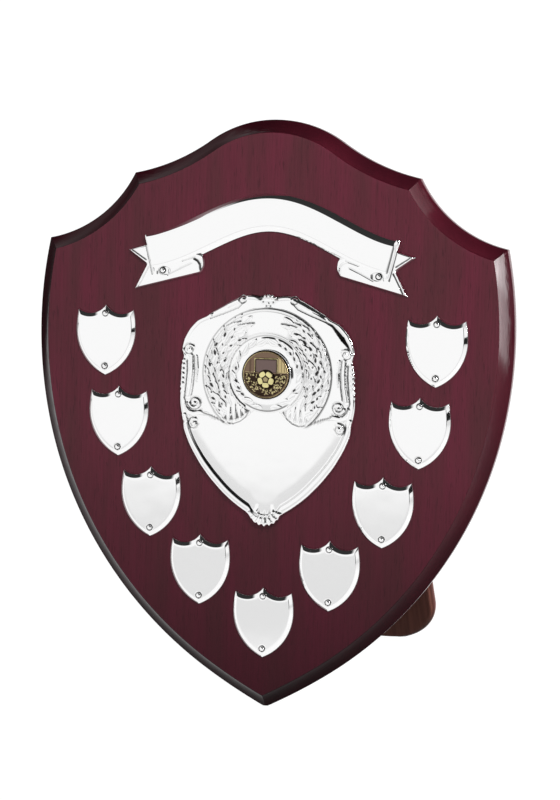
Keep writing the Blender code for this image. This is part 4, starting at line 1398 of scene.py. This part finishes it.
# %% The wreath
LEAF_PITCH = 4.6
ROWS = ((22.6, 60.0, 0.40), (25.6, 70.0, 0.12), (28.7, 73.0, -0.14), (31.5, 66.0, -0.42))
FEATHERS = ((22.5 - 15.5j, 24.0 - 25.6j), (20.0 - 14.5j, 20.4 - 26.2j), (17.6 - 13.0j, 17.0 - 26.0j),
            (15.4 - 12.6j, 13.8 - 24.6j), (26.0 - 14.0j, 27.2 - 23.4j), (13.4 - 14.0j, 11.2 - 22.4j))
TIP_LEAVES = ((15.2 + 23.2j, 6.8 + 26.6j), (21.6 + 22.6j, 13.8 + 27.2j), (18.4 + 20.0j, 11.2 + 21.6j))


def along(start, end):
    """The direction and the length from one place to another."""
    return float(np.angle(end - start)), abs(end - start)


leaves = np.zeros(net.shape)
for row, (row_radius, last, spread) in enumerate(ROWS):
    pitch = LEAF_PITCH / row_radius
    first = math.radians(-50) + pitch * (row % 2) / 2
    for number, angle in enumerate(np.arange(first, math.radians(last) - 6.0 / row_radius, pitch)):
        size = 1 + 0.15 * math.sin(2.1 * number + row)
        root = row_radius * np.exp(1j * angle)
        growth = angle + np.pi / 2 + 3.4 / row_radius + spread + 0.22 * math.sin(3.7 * number + 2 * row)
        leaves = np.maximum(leaves, leaf(right, root, growth, 7.0 * size, 1.6 * size, 0.75))
for long_leaves, lift in ((FEATHERS, 0.85), (TIP_LEAVES, 0.9)):
    for start, end in long_leaves:
        leaves = np.maximum(leaves, leaf(right, start, *along(start, end), 1.35, lift))
height = height + leaves * smooth_step(in_band, 0.1, 1.0)
# Painted shade on the ground between the leaves, much darker at the left foot.
around_branch = smooth_step(6.4 - np.abs(radius - 27.0), 0.0, 1.0)
around_branch = around_branch * smooth_step(66.0 - np.degrees(np.angle(right)), 0, 8)
left_foot = smooth_step(-up, 15.0, 19.0) * (net.real < 0)
ground_shade = (0.22 + 0.6 * left_foot) * smooth_step(0.18 - leaves, 0.0, 0.15) * around_branch
recess = np.maximum(recess, ground_shade * smooth_step(in_band, 0.9, 1.8))
print(f"wreath: leaves cover {(leaves > 0).mean():.0%} of the net")

# %% [markdown]
# Between the leaves lie small pits, painted dark as shade, more of them on the right than on the left, and
# a few in the dish.
# Their steps outwards follow the golden ratio, so that they never fall in line. Each is the leaf's punch
# again, but sunk. Round the dish runs a ring of the same leaves, wider, lower and nearly smooth.

# %% Pits and inner leaves
PITS = ((1, 32), (-1, 22))
DISH_PITS = ((1, (62, 50, 38, 26, 12, -32)), (-1, (5, -17, -31, -44)))

pits = np.zeros(net.shape)
for side, count in PITS:
    this_side = net if side > 0 else -np.conj(net)
    for number in range(count):
        angle = math.radians(-38 + 91 * (number + 0.5) / count)
        spot_radius = 23.0 + 8.6 * ((number * 0.618 + 0.31 * side) % 1.0)
        size = 0.65 + 0.75 * ((number * 0.381) % 1.0) ** 2
        growth = angle + np.pi / 2 + 0.5 * math.sin(2.3 * number)
        root = spot_radius * np.exp(1j * angle)
        pits = np.maximum(pits, leaf(this_side, root, growth, 2.5 * size, 0.62 * size, 1.0))
for side, angles in DISH_PITS:
    this_side = net if side > 0 else -np.conj(net)
    for angle in np.radians(angles):
        pits = np.maximum(pits, leaf(this_side, 16.6 * np.exp(1j * angle), angle + 1.45, 2.6, 0.55, 1.0))
height = height - 0.3 * pits
recess = np.maximum(recess, 0.95 * smooth_step(pits, 0.12, 0.40))

inner_leaves = np.zeros(net.shape)
for number, angle in enumerate(np.linspace(-1.45, 1.50, 11)):
    root = (17.0 + 0.5 * (-1) ** number) * np.exp(1j * angle)
    inner_leaves = np.maximum(inner_leaves, leaf(right, root, angle + np.pi / 2 - 0.15, 7.5, 1.9, 0.55))
in_dish = smooth_step(DISH_RADIUS - radius, 0.4, 1.0) * smooth_step(radius, 14.4, 15.2)
height = height + inner_leaves * in_dish
# Painted grey shade between the inner leaves of the dish.
dish_shade = 0.20 * smooth_step(0.10 - inner_leaves, 0.0, 0.08) * in_dish * smooth_step(radius, 15.5, 16.5)
recess = np.maximum(recess, dish_shade * smooth_step(19.0 - radius, 0.0, 0.8))
pit_counts = sum(count for _, count in PITS), sum(len(angles) for _, angles in DISH_PITS)
print("pits in the wreath and in the dish:", pit_counts)

# %% [markdown]
# Fine grooves ring the wreath and the dish, darkened with painted shade, the outermost more on the right.
# Each is its radius, its half width, its depth, how dark it is and where it runs. Last a narrow collar rises
# round the disc, with a painted shadow, a dark crescent, at its foot on the right.

# %% Rings and collar
above_lobes = smooth_step(up - lobe_end, -1.8, 0.5)
at_foot = smooth_step(-up, 14.5, 16.5)
for ring_radius, half_width, depth, shade, where in (
    (34.5, 0.45, 0.30, 0.45 + 0.4 * (net.real > 0), above_lobes),
    (32.9, 0.32, 0.20, 0.22, above_lobes),
    (21.6, 0.35, 0.20, 0.14, above_lobes),
    (20.3, 0.40, 0.14, 0.32, above_lobes * (1 - at_foot)),
    (19.2, 0.45, 0.25, 0.75, at_foot),
):
    circle = np.sqrt(np.clip(1 - ((radius - ring_radius) / half_width) ** 2, 0, 1)) * where
    height = height - depth * circle
    recess = np.maximum(recess, shade * circle)

collar_share = (COLLAR_RADIUS - radius) / (COLLAR_RADIUS - SEAT_RADIUS)
collar = DISH_OUT + (COLLAR_OUT - DISH_OUT) * np.sin(np.clip(collar_share * 1.4, 0, 1) * np.pi / 2)
height = np.where(radius < COLLAR_RADIUS, collar, height)
# Painted shadow: a dark crescent at the collar's foot on the right.
crescent = smooth_step(0.65 - np.abs(radius - 13.8), 0.0, 0.4) * (net.real > 0)
crescent = crescent * smooth_step(3.6 - np.abs(up - 1.3), 0.0, 1.5)
recess = np.maximum(recess, 0.9 * crescent)
print(f"with its collar the plate rises to {height.max():.2f} mm")

# %% [markdown]
# The frame round the wreath is drawn with scrolls. The band starts at the top in a curl beside the crown,
# the shoulder ends in a volute, and a long scroll goes down the side between grooves and beads and turns
# in to a second volute and a third. A leaf springs from there over the panel. Raised strokes and chased
# grooves each stand in a list, the places of a line first, then its half width, its lift or its depth, and
# how its width changes or how dark it is. The dark of a groove is painted shade and painted reflection. Two
# wedges at the right shoulder are there only on that side: dark grooves of painted reflection.

# %% Scrolls and curls
CROWN = 37.4j
FOOT_SHELL = -70.6j
VOLUTE_TOP = 42.0 + 11.6j
VOLUTE_LOW = 38.6 - 16.2j
CURL = 39.0 - 27.3j
TOP_CURL = 13.8 + 38.7j
FLUTE_TURN = 0.40

raised = (
    ([14.2 + 39.0j, 18.2 + 37.5j, 22.5 + 35.2j, 27.0 + 32.7j, 31.0 + 30.6j], 1.5, 0.55, (1.1, 0.5)),
    ([41.0 + 8.5j, 40.7 + 1.0j, 41.2 - 6.0j, 42.4 - 13.0j], 1.25, 0.75, (0.8, 1.0)),
    ([38.3 + 8.0j, 37.6 + 2.0j, 38.0 - 5.0j], 0.9, 0.5, (1.0, 0.3)),
    (spiral(VOLUTE_TOP, 2.5, 0.7, 2.4, -1.1), 0.85, 0.75, (1.0, 0.8)),
    (spiral(VOLUTE_LOW, 3.1, 0.8, -0.3, -1.3), 1.0, 0.85, (1.0, 0.8)),
    (spiral(CURL, 2.6, 0.7, 1.9, -1.2), 0.85, 0.8, (1.0, 0.8)),
    ([43.4 - 17.0j, 42.6 - 20.5j, 39.4 - 21.8j, 35.5 - 21.0j, 31.0 - 22.0j, 24.5 - 24.9j],
     1.15, 0.8, (1.0, 0.4)),
)
for line, half_width, lift, ends in raised:
    height = height + ridge(right, line, half_width, lift, ends)

chased = (
    (spiral(TOP_CURL, 1.9, 1.9, 2.6, -0.85), 0.36, 0.35, 0.75),
    ([15.8 + 25.3j, 11.5 + 26.5j, 7.4 + 26.7j], 0.38, 0.30, 0.50),
    ([22.0 + 24.9j, 18.0 + 26.8j, 14.4 + 27.6j], 0.38, 0.30, 0.50),
    ([12.8 + 37.6j, 15.9 + 34.4j, 22.3 + 31.6j, 31.0 + 28.3j], 0.42, 0.35, 0.40),
    ([39.7 + 8.5j, 39.1 + 1.0j, 39.6 - 6.0j, 40.6 - 12.4j], 0.36, 0.35, 0.60),
    ([43.2 + 6.0j, 43.1 + 0.0j, 43.7 - 7.0j, 44.4 - 14.0j, 43.0 - 18.4j, 40.8 - 20.4j], 0.38, 0.40, 0.85),
    (spiral(VOLUTE_TOP, 3.3, 1.5, 2.4, -1.1), 0.30, 0.30, 0.45),
    (spiral(VOLUTE_LOW, 4.1, 1.6, -0.2, -1.3), 0.36, 0.35, 0.65),
    (spiral(CURL, 3.4, 1.4, 1.5, -1.0), 0.34, 0.35, 0.60),
    ([41.3 - 25.0j, 42.2 - 27.3j, 41.0 - 29.6j], 0.6, 0.35, 0.70),
    ([35.6 - 20.0j, 33.8 - 21.6j, 30.0 - 22.6j, 26.6 - 24.0j, 22.6 - 25.9j], 0.42, 0.35, 0.80),
    ([9.2 - 19.2j, 11.0 - 22.8j, 14.0 - 25.2j, 17.4 - 26.5j, 21.0 - 26.2j], 0.36, 0.35, 0.55),
    ([3.4 - 72.6j, 2.4 - 73.3j, 1.2 - 73.7j, 0.0 - 73.8j], 0.32, 0.30, 0.60),
)
for line, half_width, depth, shade in chased:
    stroke = ridge(right, line, half_width, 1.0)
    height = height - depth * stroke
    recess = np.maximum(recess, shade * stroke)
wedges = (
    ([30.5 + 28.5j, 34.2 + 26.5j, 39.7 + 19.9j], (0.35, 1.0)),
    ([39.7 + 19.9j, 42.6 + 16.2j, 44.6 + 12.6j], (1.0, 0.25)),
)
for line, ends in wedges:
    stroke = ridge(net, line, 1.2, 1.0, ends)
    height = height - 0.5 * stroke
    recess = np.maximum(recess, smooth_step(stroke, 0.1, 0.5))
print(f"chased lines: {len(raised)} raised, {len(chased)} sunk on both sides, {len(wedges)} on the right")

# %% [markdown]
# The smallest marks are punched: beads down each side and in the middle of every curl, a spray of leaves
# at the lower volute, and the two shells. The crown is a fan of leaves with spots of painted shade between
# them, and the foot shell is fluted: its ridges are a cosine of the turn about the shell's root, with
# painted shade in the hollows between them.

# %% Beads, sprays and shells
punched = np.zeros(net.shape)
for number in range(8):
    punched = np.maximum(punched, bead(right, complex(45.4 + 0.08 * number, 11.0 - 2.5 * number), 1.25, 0.9))
for spot in (VOLUTE_TOP, VOLUTE_LOW, CURL):
    punched = np.maximum(punched, bead(right, spot, 1.0, 0.9))
for turn, length in ((-0.25, 4.4), (-0.75, 5.0), (-1.25, 5.0)):
    punched = np.maximum(punched, leaf(right, 42.6 - 22.6j, turn, length, 1.0, 0.9))
for turn in (0.25, 0.68, 1.12, 1.57):
    punched = np.maximum(punched, leaf(right, CROWN, turn, 5.6, 1.0, 1.1))
punched = np.maximum(punched, bead(right, CROWN - 0.6j, 1.0, 0.9))
# Spots of painted shade between the crown's leaves.
for spot in (CROWN + 2.7 + 0.4j, CROWN + 1.1 - 1.7j, CROWN + 1.0 + 3.2j, CROWN + 3.0 + 2.9j):
    recess = np.maximum(recess, 0.85 * smooth_step(0.62 - np.abs(right - spot), 0.0, 0.3))
flute = right - FOOT_SHELL
flute_turn = np.arctan2(flute.real, -flute.imag)
flute_reach = np.abs(flute)
in_shell = smooth_step(flute_reach, 3.2, 4.6) * smooth_step(1.42 - flute_turn, 0.0, 0.12)
in_shell = in_shell * smooth_step(10.6 - flute_reach, 0.0, 0.6)
flutes = np.abs(np.cos(flute_turn * np.pi / FLUTE_TURN))
punched = np.maximum(punched, in_shell * (0.2 + 0.7 * flutes))
height = height + punched
# Painted shade in the hollows between the flutes.
flute_shade = 0.55 * in_shell * smooth_step(0.26 - flutes, 0.0, 0.26) * smooth_step(flute_reach, 5.0, 6.5)
recess = np.maximum(recess, flute_shade * smooth_step(edge_gap, 0.6, 1.6))
print(f"relief: up to {height.max():.2f} mm out")

# %% [markdown]
# Last, the net gets its back and its seat: the outline again just off the board, and a round wall down
# to the floor on which the disc lies.

# %% The centre shield itself
SEAT_OUT = 4.2

rim_ring = net[0]
back_ring = on_board(rim_ring.real, rim_ring.imag + DISC_UP, GAP)
seat_ring = SEAT_RADIUS * ways
seat_floor = on_board(seat_ring.real, seat_ring.imag + DISC_UP, SEAT_OUT)
face = on_board(net.real, net.imag + DISC_UP, height)
centre_rings = np.concatenate([back_ring[None], face, seat_floor[None]])
# The seat's floor under the disc is painted black as shade, and the back ring stays bright.
recess_marks = np.concatenate([np.zeros((1, len(ways))), recess, np.ones((1, len(ways)))])
centre_shield = make_piece("silver_centre_shield", [closed_shell(centre_rings)], silver,
                           ["centre_shield"], sharp_above=60.0, marks={"recess": recess_marks})
print("centre shield:", triangles(centre_shield), "triangles, up to", height.max().round(2), "mm out")

# %% [markdown]
# ## The disc
# A 25 mm bronze disc with a football in front of a goal is let into the seat. Its picture is plain and
# generic, and the relief is a fine round net with the same punches. A raised rim comes first, then the
# goal's frame round a shaded opening, and a ground line with a groove under it. Each stroke is its places,
# its half width, its lift and how much brighter the rubbing makes it, or less bright where it is sunk.

# %% The disc's rim and the goal
DISC_RADIUS = 12.5
DISC_BASE = SEAT_OUT + GAP
DISC_RIM = 1.9
FIELD_RISE = 1.25
GOAL_HALF = 6.0
GOAL_TOP = 8.4
GROUND = 1.2
PICTURE_RADIUS = 11.35

disc_around = np.exp(2j * np.pi * np.arange(240) / 240)
disc_radii = np.concatenate([[DISC_RADIUS, DISC_RADIUS, 12.4, 12.2], np.linspace(12.0, 0.12, 76)])
disc_net = disc_radii[:, None] * disc_around
disc_r = np.abs(disc_net)
inside = disc_r < PICTURE_RADIUS
rim_line = np.exp(-(((disc_r - 12.0) / 0.20) ** 2))
disc_height = np.where(inside, FIELD_RISE, FIELD_RISE + 0.15 + 0.4 * rim_line)
rubbed = np.where(inside, 0.5, 0.42 * (disc_r < 12.0) + 0.80 * rim_line)
# Painted reflection: the right of the field is a lighter olive.
olive_reflection = smooth_step(disc_net.real, 5.6, 7.6) * (disc_net.imag > GROUND) * inside
opening = (np.abs(disc_net.real) < GOAL_HALF) & (disc_net.imag > GROUND) & (disc_net.imag < GOAL_TOP) & inside
disc_height = disc_height - 0.2 * opening
frame_line = [
    complex(-GOAL_HALF, GROUND),
    complex(-GOAL_HALF, GOAL_TOP),
    complex(GOAL_HALF, GOAL_TOP),
    complex(GOAL_HALF, GROUND),
]
for line, half_width, lift, shine in (
    (frame_line, 0.32, 0.35, 0.34),
    ([spot * 0.93 for spot in frame_line], 0.26, -0.1, -0.4),
    ([-11.3 + 1j * GROUND, -4.6 + 1j * GROUND], 0.26, 0.15, 0.15),
    ([5.4 + 1j * GROUND, 11.3 + 1j * GROUND], 0.26, 0.15, 0.15),
    ([-11.3 + 1j * (GROUND - 0.6), -4.6 + 1j * (GROUND - 0.6)], 0.28, -0.1, -0.4),
    ([5.4 + 1j * (GROUND - 0.6), 11.3 + 1j * (GROUND - 0.6)], 0.28, -0.1, -0.4),
    ([-8.4 + 1.6j, -8.4 + 7.6j], 0.5, -0.1, -0.2),
    ([8.3 + 1.6j, 8.3 + 7.8j], 0.22, -0.08, -0.3),
    ([9.9 + 1.6j, 9.9 + 5.6j], 0.25, -0.08, -0.3),
):
    stroke = ridge(disc_net, line, half_width, 1.0) * inside
    disc_height = disc_height + lift * stroke
    rubbed = rubbed + shine * stroke
print("disc's net of rings by spokes:", disc_net.shape)

# %% [markdown]
# Below the ground line the field is rough turf: many short strokes at random places and turns, rubbed
# bright where they stand up from the brown ground.

# %% Turf
TURF_STROKES = 230

turf = np.zeros(disc_net.shape)
chance = np.random.default_rng(7)
for _ in range(TURF_STROKES):
    spot = complex(chance.uniform(-10.8, 10.8), chance.uniform(-11.0, 0.2))
    turn, length = chance.uniform(0.0, 3.1), chance.uniform(1.0, 1.8)
    turf = np.maximum(turf, leaf(disc_net, spot, turn, length, 0.30, 0.5))
below = inside & (disc_net.imag < GROUND - 0.7)
disc_height = np.where(below, FIELD_RISE - 0.25 + turf, disc_height)
rubbed = np.where(below, 0.05 + 3.2 * turf * smooth_step(11.3 - disc_r, 0.0, 0.6), rubbed)
print(f"turf: {TURF_STROKES} strokes, bright on {(turf[below] > 0.1).mean():.0%} of the ground")

# %% [markdown]
# The ball is a dome. Its bright panels are one small pentagon in the middle and five rounded ones about it,
# and the seams between them are sunk and dark, as is a moat round the whole ball. The pentagon is the
# distance from its middle times the cosine of the turn within one fifth, which is level along each side.

# %% The ball and the finished disc
BALL = -2.4j
BALL_RADIUS = 4.7
BALL_TURN = -np.pi / 2

ball_gap = np.abs(disc_net - BALL)
on_ball = ball_gap < BALL_RADIUS
ball_dome = np.sqrt(np.clip(1 - (ball_gap / BALL_RADIUS) ** 2, 0, 1))
ball_height = FIELD_RISE + 0.1 + 0.75 * ball_dome
panels = np.zeros(disc_net.shape)
for way in BALL_TURN + 2 * np.pi * np.arange(5) / 5:
    local = (disc_net - BALL) * np.exp(-1j * way) - 3.05
    panels = np.maximum(panels, 1 - (np.abs(local.real) / 1.45) ** 3 - (np.abs(local.imag) / 1.85) ** 3)
facet = (disc_net - BALL) * np.exp(-1j * BALL_TURN)
facet_turn = (np.angle(facet) + np.pi / 5) % (2 * np.pi / 5) - np.pi / 5
five = 1 - np.abs(facet) * np.cos(facet_turn) / 1.35
ball_mark = np.maximum(smooth_step(panels, 0.0, 0.35), 0.66 * smooth_step(five, 0.0, 0.2))
disc_height = np.where(on_ball, np.maximum(ball_height - 0.3 * (1 - ball_mark), disc_height), disc_height)
rubbed = np.where(on_ball, 0.02 + 0.98 * ball_mark, rubbed)
moat = smooth_step(0.40 - np.abs(ball_gap - BALL_RADIUS - 0.1), 0.0, 0.35)
rubbed = rubbed * (1 - 0.7 * moat)
disc_height = disc_height - 0.2 * moat
disc_height[0], disc_height[1] = 0.0, DISC_RIM - 0.5
rubbed[:2] = 0.1
# Painted shade in the goal's opening, behind the net.
shaded = np.where(opening & ~on_ball, 1.0, 0.0)

disc_face = on_board(disc_net.real, disc_net.imag + DISC_UP, DISC_BASE + disc_height)
disc = make_piece("bronze_disc_face", [closed_shell(disc_face)], bronze, ["centre_disc"],
                  sharp_above=60.0, marks={"rubbed": rubbed, "shaded": shaded, "olive_reflection": olive_reflection})
print("disc:", triangles(disc), "triangles")
